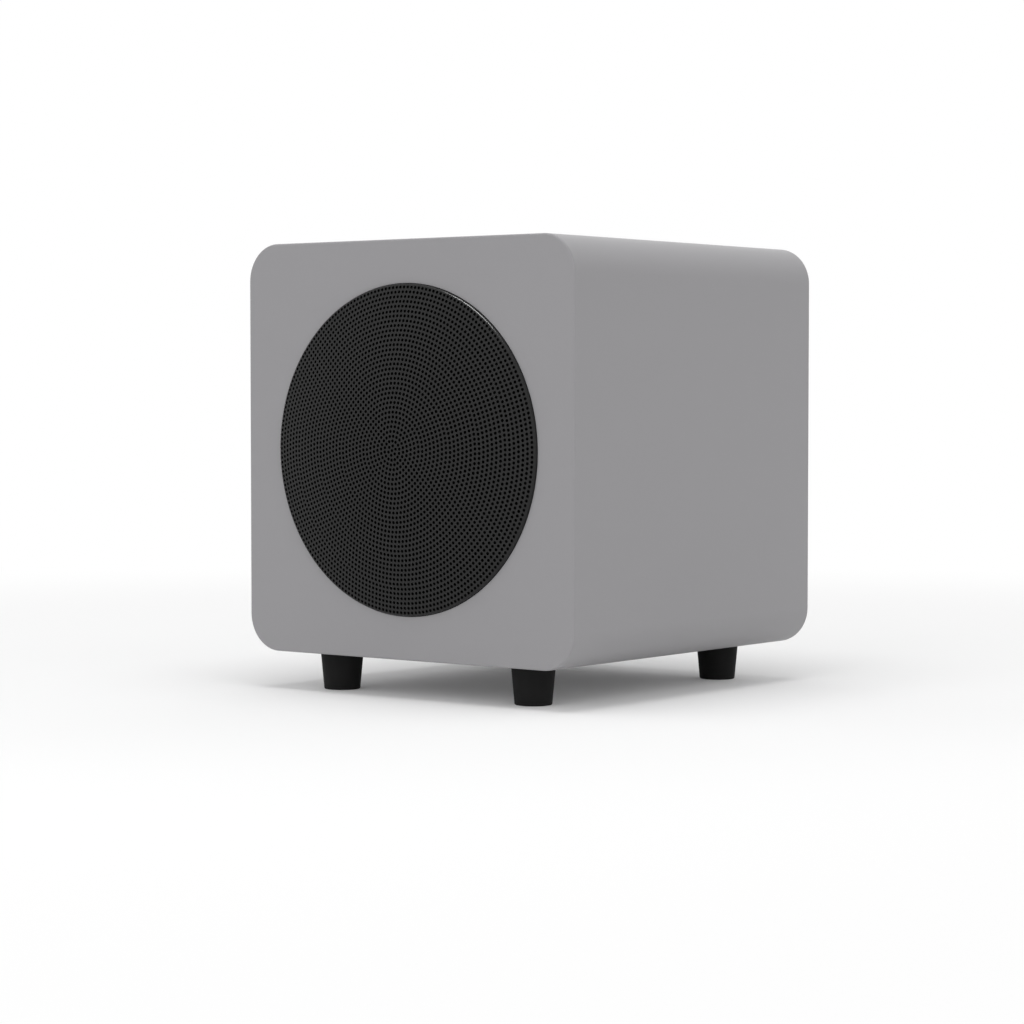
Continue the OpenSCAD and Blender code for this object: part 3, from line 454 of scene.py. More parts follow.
def add_foot(name):
    top_r = (foot_high[0] - foot_low[0]) / 2
    x = (foot_low[0] + foot_high[0]) / 2
    y = (foot_low[1] + foot_high[1]) / 2
    clear_selection()
    bpy.ops.mesh.primitive_cylinder_add(
        vertices=64, radius=bottom_r, depth=foot_high[2], location=(x, y, foot_high[2] / 2))
    foot = settle(bpy.context.object, name)
    pick_faces(foot, lambda f: f.normal.z > 0.9)
    wider = top_r / bottom_r
    bpy.ops.transform.resize(value=(wider, wider, 1), center_override=(x, y, 0))
    stop_editing()
    pick_faces(foot, lambda f: f.normal.z < -0.9)
    bpy.ops.mesh.inset(thickness=bottom_r - recess_r)
    bpy.ops.mesh.extrude_region_move(TRANSFORM_OT_translate={"value": (0, 0, recess_h)})
    stop_editing()

    def rim(a, b):
        at_floor = abs(a.z - b.z) < same_place and max(a.z, b.z) < margin
        around = abs(math.hypot(a.x - x, a.y - y) - math.hypot(b.x - x, b.y - y)) < margin
        middle_r = math.hypot((a.x + b.x) / 2 - x, (a.y + b.y) / 2 - y)
        return at_floor and around and middle_r > recess_r - 2 * margin

    pick_edges(foot, rim)
    bpy.ops.mesh.bevel(offset=foot_rim_r, segments=4, profile=0.5, affect="EDGES")
    stop_editing()
    smooth_off(foot)
    return foot


def copy_piece(obj, name, move):
    twin = obj.copy()
    twin.data = obj.data.copy()
    bpy.context.scene.collection.objects.link(twin)
    twin.name = name
    take(twin)
    twin.location = move
    bpy.ops.object.transform_apply(location=True, rotation=False, scale=False)
    return twin


first_foot = add_foot("rubber_foot_front_left")
feet = {"foot_front_left": first_foot}
for node in ("foot_front_right", "foot_rear_left", "foot_rear_right"):
    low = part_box(node)[0]
    move = [low[i] - foot_low[i] for i in range(3)]
    feet[node] = copy_piece(first_foot, "rubber_" + node, move)
for node, foot in feet.items():
    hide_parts(node)
    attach(foot, "base")
report(first_foot)

# %% [markdown]
# ## The surround and the spider
# Two flexible rings hold the cone: a half roll of rubber at its rim and a corrugated disc of cloth at its
# neck. Their outer edge stays with the basket and their inner edge moves with the cone. A blend between
# two bodies works along one straight line, so each ring is made as equal sectors. A profile is drawn point
# by point as a chain of extruded vertices. A spin turns it into a sector, and Solidify gives it the
# thickness of the rubber or the cloth.

# %% Profile and sector
surround_parts = 12
spider_parts = 8


def draw_profile(name, points):
    clear_selection()
    bpy.ops.mesh.primitive_circle_add(vertices=3, radius=MM)
    obj = bpy.context.object
    obj.name = name
    shape = start_editing(obj, "VERT")
    bmesh.ops.delete(shape, geom=list(shape.verts)[1:], context="VERTS")
    shape.verts.ensure_lookup_table()
    shape.verts[0].co = points[0]
    shape.verts[0].select_set(True)
    bmesh.update_edit_mesh(obj.data)
    for a, b in zip(points, points[1:]):
        step = [end - start for start, end in zip(a, b)]
        bpy.ops.mesh.extrude_vertices_move(TRANSFORM_OT_translate={"value": step})
    return obj


def turn_sector(obj, sectors, steps, thickness):
    bpy.ops.mesh.select_all(action="SELECT")
    bpy.ops.mesh.spin(steps=steps, angle=math.tau / sectors, center=axis_point, axis=(0, 1, 0))
    bpy.ops.mesh.select_all(action="SELECT")
    bpy.ops.mesh.remove_doubles(threshold=same_place)
    bpy.ops.mesh.normals_make_consistent(inside=False)
    stop_editing()
    wall = obj.modifiers.new("wall", "SOLIDIFY")
    wall.thickness = thickness
    wall.offset = 0
    bpy.ops.object.modifier_apply(modifier=wall.name)
    bpy.ops.object.shade_smooth_by_angle(angle=math.radians(40))
    return obj


print("sectors of", 360 / surround_parts, "and", 360 / spider_parts, "degrees")

# %% [markdown]
# The rest of a ring is copies of its first sector, each turned a little further.

# %% Bending ring
def bending_ring(first, sectors):
    pieces = [first]
    for i in range(1, sectors):
        twin = copy_piece(first, first.name + "_" + str(i + 1), (0, 0, 0))
        start_editing(twin, "VERT")
        bpy.ops.mesh.select_all(action="SELECT")
        bpy.ops.transform.rotate(
            value=math.tau * i / sectors, orient_axis="Y", center_override=axis_point)
        stop_editing()
        pieces.append(twin)
    for piece in pieces:
        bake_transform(piece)
    print(first.name, "bends in", len(pieces), "sectors")
    return pieces


# %% [markdown]
# The surround's profile is a half circle with a flat lip on each side. The outer lip is glued to the
# basket, the inner one to the front of the cone's rim.

# %% Surround
rubber_t = 1.2 * MM
inner_lip = 2 * MM
roll_step = 15
lip_low, lip_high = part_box("surround")
cone_low, cone_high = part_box("cone")
cone_rim_r = (cone_high[0] - cone_low[0]) / 2
lip_r = (lip_high[0] - lip_low[0]) / 2
roll_r = lip_high[1] - lip_low[1] - rubber_t / 2
lip_y = lip_high[1] - rubber_t / 2


def on_radius(r, y):
    return (axis_x + r, y, axis_z)


def roll_point(degrees):
    a = math.radians(degrees)
    y = min(lip_high[1] - roll_r * math.sin(a), lip_y)
    return on_radius(cone_rim_r + roll_r - roll_r * math.cos(a), y)


roll = [roll_point(degrees) for degrees in range(0, 181, roll_step)]
roll = [on_radius(cone_rim_r - inner_lip, lip_y), *roll, on_radius(lip_r, lip_y)]
first_sector = turn_sector(
    draw_profile("surround_sector", roll), surround_parts, steps=8, thickness=rubber_t)
surround_sectors = bending_ring(first_sector, surround_parts)
for sector in surround_sectors:
    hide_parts("surround")
report(surround_sectors[0])

# %% [markdown]
# The spider's profile is a wave between two flats. The inner flat is glued to the coil former and the
# outer one to a ledge of the basket.

# %% Spider
cloth_t = 0.6 * MM
inner_flat = 3 * MM
outer_flat = 8.5 * MM
wave_total = 3
points_a_wave = 12
spider_low, spider_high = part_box("spider")
former_low, former_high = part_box("coil_former")
former_r = (former_high[0] - former_low[0]) / 2
spider_r = (spider_high[0] - spider_low[0]) / 2
spider_y = (spider_low[1] + spider_high[1]) / 2
wave_h = (spider_high[1] - spider_low[1]) / 2 - cloth_t / 2
wave_from, wave_to = former_r + inner_flat, spider_r - outer_flat
wave = [on_radius(former_r, spider_y)]
for i in range(wave_total * points_a_wave + 1):
    r = wave_from + (wave_to - wave_from) * i / (wave_total * points_a_wave)
    wave.append(on_radius(r, spider_y - wave_h * math.sin(math.tau * i / points_a_wave)))
wave.append(on_radius(spider_r, spider_y))
first_sector = turn_sector(
    draw_profile("spider_sector", wave), spider_parts, steps=10, thickness=cloth_t)
spider_sectors = bending_ring(first_sector, spider_parts)
for sector in spider_sectors:
    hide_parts("spider")
report(spider_sectors[0])

# %% [markdown]
# ## Finishes
# A material is a tree of nodes. These helpers keep the trees readable: one gives a group a named socket,
# one draws links, one adds a sum or a product, one lays a ramp of two colours over a value, and one mixes
# two colours by a mask. A Mix node has sockets for every kind of data under the same names, so its colour
# sockets are found by their identifiers.

# %% Node tools
def add_socket(group, name, way, kind, value=None):
    made = group.interface.new_socket(name, in_out=way, socket_type=kind)
    if value is not None:
        made.default_value = value


def join(tree, *pairs):
    for out, to in pairs:
        tree.links.new(out, to)


def add_math(tree, kind, first, second):
    node = tree.nodes.new("ShaderNodeMath")
    node.operation = kind
    for socket, value in zip(node.inputs, (first, second)):
        if isinstance(value, (int, float)):
            socket.default_value = value
        else:
            tree.links.new(value, socket)
    return node.outputs[0]


def ramp_colours(tree, value, dark, light, start=0.0, end=1.0):
    ramp = tree.nodes.new("ShaderNodeValToRGB")
    for stop, position, colour in zip(ramp.color_ramp.elements, (start, end), (dark, light)):
        stop.position = position
        stop.color = (*colour, 1)
    join(tree, (value, ramp.inputs["Fac"]))
    return ramp.outputs["Color"]


def mix_colours(tree, mask, first, second):
    node = tree.nodes.new("ShaderNodeMix")
    node.data_type = "RGBA"
    sockets = {socket.identifier: socket for socket in [*node.inputs, *node.outputs]}
    join(tree, (mask, sockets["Factor_Float"]))
    for socket, colour in ((sockets["A_Color"], first), (sockets["B_Color"], second)):
        if isinstance(colour, tuple):
            socket.default_value = (*colour, 1)
        else:
            join(tree, (colour, socket))
    return sockets["Result_Color"]


print("node tools are ready")

# %% [markdown]
# A finish is more than a colour. Paint has a fine orange peel, moulded plastic a spark texture, cast
# metal a grain. The group below is shared by all of them: it takes a colour and gives back a slightly
# uneven colour, an uneven roughness and a height for a Bump node. Object coordinates are in metres, so a
# scale of 1000 makes a grain of about a millimetre.

# %% Fine coat group
def build_fine_coat():
    group = bpy.data.node_groups.new("Fine coat", "ShaderNodeTree")
    add_socket(group, "Colour", "INPUT", "NodeSocketColor", (0.5, 0.5, 0.5, 1))
    add_socket(group, "Tone", "INPUT", "NodeSocketFloat", 0.05)
    add_socket(group, "Grain", "INPUT", "NodeSocketFloat", 1000)
    add_socket(group, "Roughness", "INPUT", "NodeSocketFloat", 0.5)
    add_socket(group, "Gloss spread", "INPUT", "NodeSocketFloat", 0.05)
    add_socket(group, "Colour", "OUTPUT", "NodeSocketColor")
    add_socket(group, "Roughness", "OUTPUT", "NodeSocketFloat")
    add_socket(group, "Height", "OUTPUT", "NodeSocketFloat")
    nodes = group.nodes
    into, out = nodes.new("NodeGroupInput"), nodes.new("NodeGroupOutput")
    place = nodes.new("ShaderNodeTexCoord")
    broad, grain = nodes.new("ShaderNodeTexNoise"), nodes.new("ShaderNodeTexNoise")
    broad.inputs["Scale"].default_value = 22
    broad.inputs["Detail"].default_value = 4
    grain.inputs["Detail"].default_value = 3
    grain.inputs["Roughness"].default_value = 0.55
    join(group, (place.outputs["Object"], broad.inputs["Vector"]),
         (place.outputs["Object"], grain.inputs["Vector"]), (into.outputs["Grain"], grain.inputs["Scale"]))
    broad_part = add_math(group, "SUBTRACT", broad.outputs["Fac"], 0.5)
    grain_part = add_math(group, "SUBTRACT", grain.outputs["Fac"], 0.5)
    both = add_math(group, "ADD", broad_part, add_math(group, "MULTIPLY", grain_part, 0.8))
    shade = add_math(group, "ADD", add_math(group, "MULTIPLY", both, into.outputs["Tone"]), 1.0)
    tint = nodes.new("ShaderNodeVectorMath")
    tint.operation = "SCALE"
    join(group, (into.outputs["Colour"], tint.inputs[0]), (shade, tint.inputs["Scale"]),
         (tint.outputs[0], out.inputs["Colour"]))
    spread = add_math(group, "MULTIPLY", both, into.outputs["Gloss spread"])
    join(group, (add_math(group, "ADD", spread, into.outputs["Roughness"]), out.inputs["Roughness"]),
         (grain.outputs["Fac"], out.inputs["Height"]))
    return group


fine_coat = build_fine_coat()
print("group made:", fine_coat.name)

# %% [markdown]
# A coat finish is one Principled shader with the group in front of it. What is the same all over, such as
# the metallic share and the shine, is set on the shader itself. A piece is dressed by giving its object
# one material, whether it was modelled here or comes from the frame.

# %% Finish from the fine coat
def start_finish(name):
    finish = bpy.data.materials.new(name)
    finish.use_nodes = True
    return finish, finish.node_tree, finish.node_tree.nodes["Principled BSDF"]


def add_bump(tree, height, shader, depth, strength):
    bump = tree.nodes.new("ShaderNodeBump")
    bump.inputs["Distance"].default_value = depth
    bump.inputs["Strength"].default_value = strength
    join(tree, (height, bump.inputs["Height"]), (bump.outputs["Normal"], shader.inputs["Normal"]))


def coat_finish(name, colour, roughness, grain, depth,
                tone=0.06, spread=0.1, metallic=0.0, bump=0.5, shine=0.5):
    finish, tree, shader = start_finish(name)
    coat = tree.nodes.new("ShaderNodeGroup")
    coat.node_tree = fine_coat
    coat.inputs["Colour"].default_value = (*colour, 1)
    coat.inputs["Tone"].default_value = tone
    coat.inputs["Grain"].default_value = grain
    coat.inputs["Roughness"].default_value = roughness
    coat.inputs["Gloss spread"].default_value = spread
    shader.inputs["Metallic"].default_value = metallic
    shader.inputs["Specular IOR Level"].default_value = shine
    join(tree, (coat.outputs["Colour"], shader.inputs["Base Color"]),
         (coat.outputs["Roughness"], shader.inputs["Roughness"]))
    add_bump(tree, coat.outputs["Height"], shader, depth * MM, bump)
    return finish


def dress(finish, *pieces):
    for piece in pieces:
        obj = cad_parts[piece] if isinstance(piece, str) else piece
        obj.data.materials.clear()
        obj.data.materials.append(finish)


coat_inputs = [socket.name for socket in fine_coat.interface.items_tree if socket.in_out == "INPUT"]
print("inputs of a coat:", coat_inputs)

# %% [markdown]
# ### Paint, powder coat and rubber
# The cabinet paint is a neutral mid grey with a satin sheen and hardly any texture. The grille has a
# darker, slightly smoother powder coat. The walls of its holes and its back are coloured near black as
# painted shade, so that the holes read dark. Rubber is dull, almost black and slightly uneven.

# %% Outer finishes
cabinet_paint = coat_finish(
    "Cabinet paint", (0.3, 0.295, 0.305), 0.4, 900, 0.02, tone=0.03, spread=0.06, bump=0.25, shine=0.4)
grille_coat = coat_finish(
    "Grille powder coat", (0.026, 0.026, 0.026), 0.24, 1600, 0.01,
    tone=0.1, spread=0.06, bump=0.2, shine=0.08)
# Painted shade: the walls of the holes and the back of the sheet are coloured near black, so the holes read
# dark.
hole_wall_shade = coat_finish(
    "Hole wall shade", (0.002, 0.002, 0.002), 0.7, 1600, 0.01, tone=0.3, spread=0.1, shine=0.03)
foot_rubber = coat_finish(
    "Foot rubber", (0.0115, 0.0115, 0.0115), 0.75, 1300, 0.05, tone=0.3, spread=0.15, shine=0.15)
# Black for the driver's basket and screws, and also painted shade for the seat behind the grille.
black_coat_and_seat_shade = coat_finish(
    "Basket coat and seat shade", (0.004, 0.004, 0.004), 0.65, 1100, 0.05, tone=0.2, spread=0.15, shine=0.08)
cabinet_body.material_slots[0].material = cabinet_paint
# The seat and the driver's opening take the black coat as painted shade, so the holes read dark.
cabinet_body.material_slots[1].material = black_coat_and_seat_shade
grille_sheet.material_slots[0].material = grille_coat
grille_sheet.material_slots[1].material = hole_wall_shade
dress(foot_rubber, *feet.values(), "grille_ring")
print("outer finishes made")

# %% [markdown]
# ### Board, foam and paper
# Fibreboard is short wood fibre pressed flat, so its noise is stretched along the board. The cone is
# pressed paper pulp with a speckle of fibre. Foam is a field of small open cells, which a Voronoi
# texture gives.

# %% Fibre and cell finishes
def fibre_finish(name, dark, light, roughness, stretch, scale, depth):
    finish, tree, shader = start_finish(name)
    place = tree.nodes.new("ShaderNodeTexCoord")
    turn = tree.nodes.new("ShaderNodeMapping")
    turn.inputs["Scale"].default_value = stretch
    fibre = tree.nodes.new("ShaderNodeTexNoise")
    fibre.inputs["Scale"].default_value = scale
    fibre.inputs["Detail"].default_value = 6
    colour = ramp_colours(tree, fibre.outputs["Fac"], dark, light, 0.35, 0.68)
    join(tree, (place.outputs["Object"], turn.inputs["Vector"]),
         (turn.outputs["Vector"], fibre.inputs["Vector"]), (colour, shader.inputs["Base Color"]))
    shader.inputs["Roughness"].default_value = roughness
    shader.inputs["Specular IOR Level"].default_value = 0.08
    add_bump(tree, fibre.outputs["Fac"], shader, depth * MM, 0.6)
    return finish


def cell_finish(name, dark, light, size):
    finish, tree, shader = start_finish(name)
    place = tree.nodes.new("ShaderNodeTexCoord")
    cells = tree.nodes.new("ShaderNodeTexVoronoi")
    cells.inputs["Scale"].default_value = 1 / (size * MM)
    colour = ramp_colours(tree, cells.outputs["Distance"], dark, light, 0.0, 0.7)
    join(tree, (place.outputs["Object"], cells.inputs["Vector"]), (colour, shader.inputs["Base Color"]))
    shader.inputs["Roughness"].default_value = 0.95
    add_bump(tree, cells.outputs["Distance"], shader, 0.4 * MM, 0.8)
    return finish


board_fibre = fibre_finish("Fibreboard", (0.3, 0.2, 0.11), (0.47, 0.34, 0.21), 0.85, (1, 4, 1), 700, 0.1)
cone_paper = fibre_finish(
    "Cone paper", (0.002, 0.002, 0.002), (0.009, 0.009, 0.0085), 0.9, (1, 1, 1), 1100, 0.12)
open_foam = cell_finish("Open cell foam", (0.12, 0.12, 0.12), (0.035, 0.035, 0.035), 1.1)
dress(board_fibre, "front_baffle")
cabinet_body.material_slots[2].material = board_fibre
dress(cone_paper, "cone")
dress(open_foam, "damping_pads", "driver_gasket", "panel_gasket")
print("fibre and foam finishes made")

# %% [markdown]
# ### Metals of the smaller pieces
# Each of these uses the fine coat with its own numbers: zinc-plated steel is bright and a little
# uneven, cast aluminium has a coarse grain, and turned nickel almost none.

# %% Metals
zinc = coat_finish("Zinc plate", (0.55, 0.56, 0.58), 0.3, 1500, 0.02, tone=0.1, spread=0.2, metallic=1)
black_zinc = coat_finish(
    "Black zinc", (0.03, 0.03, 0.032), 0.35, 1500, 0.02, tone=0.2, spread=0.2, metallic=1)
cast_alloy = coat_finish(
    "Cast aluminium", (0.42, 0.43, 0.45), 0.48, 700, 0.1, tone=0.15, spread=0.2, metallic=1)
nickel = coat_finish("Nickel plate", (0.72, 0.7, 0.66), 0.16, 1200, 0.01, tone=0.04, spread=0.08, metallic=1)
brass = coat_finish("Brass", (0.72, 0.52, 0.22), 0.28, 1300, 0.02, tone=0.1, spread=0.15, metallic=1)
ferrite = coat_finish("Ferrite", (0.045, 0.045, 0.05), 0.6, 600, 0.1, tone=0.2, spread=0.1)
dress(zinc, "foot_washers", "foot_screws", "board_screws", "inlet_nuts", "inlet_screws",
      "top_plate", "back_plate")
dress(black_zinc, "panel_screws")
dress(cast_alloy, "heat_sink", "control_pots")
dress(black_coat_and_seat_shade, "basket", "driver_screws")
dress(nickel, "rca_shells", "inlet_pins", "pot_nuts", "volume_shaft", "crossover_shaft")
dress(brass, "terminal_tabs", "board_spacers")
dress(ferrite, "magnet")
print("metals made")

# %% [markdown]
# ### Plastics and rubbers
# Moulded plastic leaves its tool with a spark texture and a soft gloss. The amplifier's panel has a duller
# black coat, so that its knobs and levers stand out a little. The two line sockets are told apart by a
# white and a red insert. The soft rubber of the surround hardly reflects at all.

# %% Plastics and rubbers
panel_coat = coat_finish("Panel coat", (0.032, 0.032, 0.033), 0.55, 1300, 0.08, tone=0.25, spread=0.2)
rear_paint = coat_finish("Rear paint", (0.26, 0.26, 0.265), 0.6, 1000, 0.04, tone=0.05, spread=0.1)
moulded = coat_finish(
    "Moulded black plastic", (0.011, 0.011, 0.012), 0.36, 1800, 0.03, tone=0.15, spread=0.15)
knob_plastic = coat_finish("Knob plastic", (0.016, 0.016, 0.017), 0.36, 2000, 0.03, tone=0.1, spread=0.12)
lever_plastic = coat_finish("Lever plastic", (0.05, 0.05, 0.052), 0.4, 2000, 0.02, tone=0.1)
white_plastic = coat_finish("White insert", (0.78, 0.77, 0.74), 0.3, 900, 0.01, tone=0.03)
red_plastic = coat_finish("Red insert", (0.5, 0.03, 0.025), 0.3, 900, 0.01, tone=0.05)
soft_rubber = coat_finish("Surround rubber", (0.004, 0.004, 0.004), 0.65, 1200, 0.03, tone=0.15, shine=0.1)
cap_plastic = coat_finish("Dust cap", (0.004, 0.004, 0.004), 0.6, 1500, 0.02, tone=0.1, shine=0.1)
fuse_body = coat_finish("Fuse ceramic", (0.72, 0.7, 0.65), 0.35, 1200, 0.01, tone=0.04)
film = coat_finish("Coil former film", (0.35, 0.18, 0.06), 0.35, 1200, 0.01, tone=0.1)
dress(panel_coat, "amplifier_panel")
dress(rear_paint, "rear_panel")
dress(moulded, "rca_block", "power_inlet", "fuse_drawer", "rocker_frame", "power_rocker", "slide_switches",
      "terminal_strip", "speaker_connector", "capacitors")
dress(knob_plastic, "volume_knob", "crossover_knob")
dress(lever_plastic, "phase_lever", "mode_lever")
dress(white_plastic, "rca_insert_left")
dress(red_plastic, "rca_insert_right")
dress(soft_rubber, "trim_ring", *surround_sectors)
dress(cap_plastic, "dust_cap")
dress(fuse_body, "fuse")
dress(film, "coil_former")
print("plastics made")

# %% [markdown]
# ### Filled marks
# The pointer of each knob and the dots round its dial are small recesses, which on the real product are
# filled with white paint. Their floors all lie at one depth, so a mask on the distance along the panel's
# outward direction finds them. The group is used by both finishes, each with its own level.

# %% Paint fill group
dot_depth = 0.4 * MM
pointer_depth = 0.6 * MM


def build_paint_fill():
    group = bpy.data.node_groups.new("Paint fill", "ShaderNodeTree")
    add_socket(group, "Colour", "INPUT", "NodeSocketColor", (0.02, 0.02, 0.02, 1))
    add_socket(group, "Fill", "INPUT", "NodeSocketColor", (0.6, 0.6, 0.6, 1))
    add_socket(group, "Level", "INPUT", "NodeSocketFloat", 0)
    add_socket(group, "Colour", "OUTPUT", "NodeSocketColor")
    into, out = group.nodes.new("NodeGroupInput"), group.nodes.new("NodeGroupOutput")
    place = group.nodes.new("ShaderNodeTexCoord")
    split = group.nodes.new("ShaderNodeSeparateXYZ")
    near = group.nodes.new("ShaderNodeMath")
    near.operation = "COMPARE"
    near.inputs[2].default_value = 2 * same_place
    colour = mix_colours(group, near.outputs[0], into.outputs["Colour"], into.outputs["Fill"])
    join(group, (place.outputs["Object"], split.inputs["Vector"]), (split.outputs["Y"], near.inputs[0]),
         (into.outputs["Level"], near.inputs[1]), (colour, out.inputs["Colour"]))
    return group


def fill_marks(finish, level):
    tree = finish.node_tree
    shader = tree.nodes["Principled BSDF"]
    fill = tree.nodes.new("ShaderNodeGroup")
    fill.node_tree = paint_fill
    fill.inputs["Level"].default_value = level
    coat_colour = shader.inputs["Base Color"].links[0].from_socket
    join(tree, (coat_colour, fill.inputs["Colour"]), (fill.outputs["Colour"], shader.inputs["Base Color"]))


paint_fill = build_paint_fill()
fill_marks(panel_coat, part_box("amplifier_panel")[1][1] - dot_depth)
fill_marks(knob_plastic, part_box("volume_knob")[1][1] - pointer_depth)
print("marks filled")

# %% [markdown]
# ### Cloth and wire
# The spider is woven cloth stiffened with resin, so two crossed waves make its weave. The coil is wound
# wire, which is one fine wave, and the transformer is wrapped in tape, which is a broader one. At scale 1
# a Wave texture repeats about every 0.3 of a metre, so its scale is that length over the period.

# %% Patterned finishes
wave_unit = 0.3


def wave_finish(name, dark, light, directions, period, roughness, metallic):
    finish, tree, shader = start_finish(name)
    place = tree.nodes.new("ShaderNodeTexCoord")
    total = None
    for direction in directions:
        wave = tree.nodes.new("ShaderNodeTexWave")
        wave.bands_direction = direction
        wave.inputs["Scale"].default_value = wave_unit / (period * MM)
        join(tree, (place.outputs["Object"], wave.inputs["Vector"]))
        value = wave.outputs["Fac"]
        total = value if total is None else add_math(tree, "MULTIPLY", total, value)
    join(tree, (ramp_colours(tree, total, dark, light), shader.inputs["Base Color"]))
    shader.inputs["Roughness"].default_value = roughness
    shader.inputs["Metallic"].default_value = metallic
    add_bump(tree, total, shader, 0.2 * MM, 0.6)
    return finish


spider_cloth = wave_finish("Spider cloth", (0.3, 0.19, 0.06), (0.62, 0.45, 0.2), ("X", "Z"), 0.7, 0.75, 0)
coil_wire = wave_finish("Coil wire", (0.25, 0.09, 0.03), (0.62, 0.27, 0.12), ("Y",), 0.35, 0.3, 1)
winding_tape = wave_finish("Winding tape", (0.4, 0.3, 0.04), (0.66, 0.52, 0.1), ("Y",), 3.0, 0.35, 0)
dress(spider_cloth, *spider_sectors)
dress(coil_wire, "voice_coil")
dress(winding_tape, "transformer")
print("cloth and wire made")

# %% [markdown]
# ### Circuit board and status light
# The circuit board is green lacquer over copper, which a Brick texture gives as rows of fields between
# lighter tracks. The status light is a small green lens that is switched off.

# %% Circuit board and status light
def track_finish(name):
    finish, tree, shader = start_finish(name)
    place = tree.nodes.new("ShaderNodeTexCoord")
    turn = tree.nodes.new("ShaderNodeMapping")
    turn.inputs["Rotation"].default_value = (math.pi / 2, 0, 0)
    tracks = tree.nodes.new("ShaderNodeTexBrick")
    tracks.inputs["Scale"].default_value = 90
    tracks.inputs["Mortar Size"].default_value = 0.03
    tracks.inputs["Color1"].default_value = (0.012, 0.09, 0.04, 1)
    tracks.inputs["Color2"].default_value = (0.016, 0.11, 0.05, 1)
    tracks.inputs["Mortar"].default_value = (0.05, 0.22, 0.09, 1)
    join(tree, (place.outputs["Object"], turn.inputs["Vector"]),
         (turn.outputs["Vector"], tracks.inputs["Vector"]),
         (tracks.outputs["Color"], shader.inputs["Base Color"]))
    shader.inputs["Roughness"].default_value = 0.3
    add_bump(tree, tracks.outputs["Fac"], shader, 0.05 * MM, 0.4)
    return finish


solder_mask = track_finish("Solder mask")
dress(solder_mask, "circuit_board")
lens = coat_finish("Status lens", (0.12, 0.42, 0.14), 0.12, 500, 0.01, tone=0.05, spread=0.02)
dress(lens, "status_light")
print("circuit board and light made")

# %% [markdown]
# ### The pair of leads
# The two speaker leads run one above the other and hang down together in the middle, so the height that
# parts them falls and rises along their run. Above it the sleeve is red, below it black.

# %% Lead sleeves
def add_slope(tree, value, start, end, rise):
    slope = tree.nodes.new("ShaderNodeMapRange")
    slope.inputs["From Min"].default_value = start
    slope.inputs["From Max"].default_value = end
    slope.inputs["To Max"].default_value = rise
    join(tree, (value, slope.inputs["Value"]))
    return slope.outputs["Result"]


def leads_finish(name, upper, lower):
    start, turn, droop = 14 * MM, 34 * MM, 14 * MM
    low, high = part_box("speaker_leads")
    finish, tree, shader = start_finish(name)
    place = tree.nodes.new("ShaderNodeTexCoord")
    split = tree.nodes.new("ShaderNodeSeparateXYZ")
    join(tree, (place.outputs["Object"], split.inputs["Vector"]))
    down = add_slope(tree, split.outputs["Y"], low[1] + start, low[1] + turn, droop)
    up = add_slope(tree, split.outputs["Y"], high[1] - turn, high[1] - start, droop)
    level = add_math(tree, "SUBTRACT", add_math(tree, "ADD", up, axis_z), down)
    is_upper = add_math(tree, "GREATER_THAN", split.outputs["Z"], level)
    coat = tree.nodes.new("ShaderNodeGroup")
    coat.node_tree = fine_coat
    join(tree, (mix_colours(tree, is_upper, lower, upper), coat.inputs["Colour"]),
         (coat.outputs["Colour"], shader.inputs["Base Color"]),
         (coat.outputs["Roughness"], shader.inputs["Roughness"]))
    add_bump(tree, coat.outputs["Height"], shader, 0.02 * MM, 0.4)
    return finish


dress(leads_finish("Lead sleeves", (0.42, 0.03, 0.025), (0.02, 0.02, 0.02)), "speaker_leads")
print("lead sleeves made")

# %% [markdown]
# ## Floor, light and camera
# The part stands on a pale floor under soft light from above and from the walls around it. Seen by the
# camera the far floor and the world are plain white, so the horizon doesn't show, while the floor near
# the object keeps its shadow, lifted by a small share of white glow, which is painted light. Reflections
# see the same white.

# %% Floor
fade_from, fade_to = 250 * MM, 1100 * MM
# Painted light: a small share of white glow is mixed into the near floor and lifts its shadow.
shadow_lift_glow = 0.08


def seen_rays(tree):
    rays = tree.nodes.new("ShaderNodeLightPath")
    seen = add_math(tree, "ADD", rays.outputs["Is Camera Ray"], rays.outputs["Is Glossy Ray"])
    return add_math(tree, "ADD", seen, rays.outputs["Is Transmission Ray"])


clear_selection()
bpy.ops.mesh.primitive_plane_add(size=40, location=(0, 0, 0))
floor = settle(bpy.context.object, "studio_floor")
floor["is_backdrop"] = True
floor_finish, floor_tree, floor_shader = start_finish("Studio floor")
floor_shader.inputs["Base Color"].default_value = (0.96, 0.96, 0.96, 1)
floor_shader.inputs["Roughness"].default_value = 0.9
floor_shader.inputs["Specular IOR Level"].default_value = 0.1
white = floor_tree.nodes.new("ShaderNodeEmission")
white.inputs["Color"].default_value = (1, 1, 1, 1)
white.inputs["Strength"].default_value = 1
place = floor_tree.nodes.new("ShaderNodeTexCoord")
reach = floor_tree.nodes.new("ShaderNodeVectorMath")
reach.operation = "LENGTH"
fade = floor_tree.nodes.new("ShaderNodeMapRange")
fade.interpolation_type = "SMOOTHSTEP"
fade.inputs["From Min"].default_value = fade_from
fade.inputs["From Max"].default_value = fade_to
fade.inputs["To Min"].default_value = shadow_lift_glow
mix = floor_tree.nodes.new("ShaderNodeMixShader")
white_share = add_math(floor_tree, "MULTIPLY", seen_rays(floor_tree), fade.outputs["Result"])
join(floor_tree, (place.outputs["Object"], reach.inputs[0]), (reach.outputs["Value"], fade.inputs["Value"]),
     (white_share, mix.inputs["Fac"]),
     (floor_shader.outputs[0], mix.inputs[1]), (white.outputs[0], mix.inputs[2]),
     (mix.outputs[0], floor_tree.nodes["Material Output"].inputs["Surface"]))
dress(floor_finish, floor)
print("floor laid")

# %% [markdown]
# The studio's walls are lit from about 15 to 45 degrees above the floor, and its ceiling is dark apart
# from the softbox. A ramp on the height of the direction gives that band. Rays that reach the camera
# straight, or off something glossy, see plain white instead.

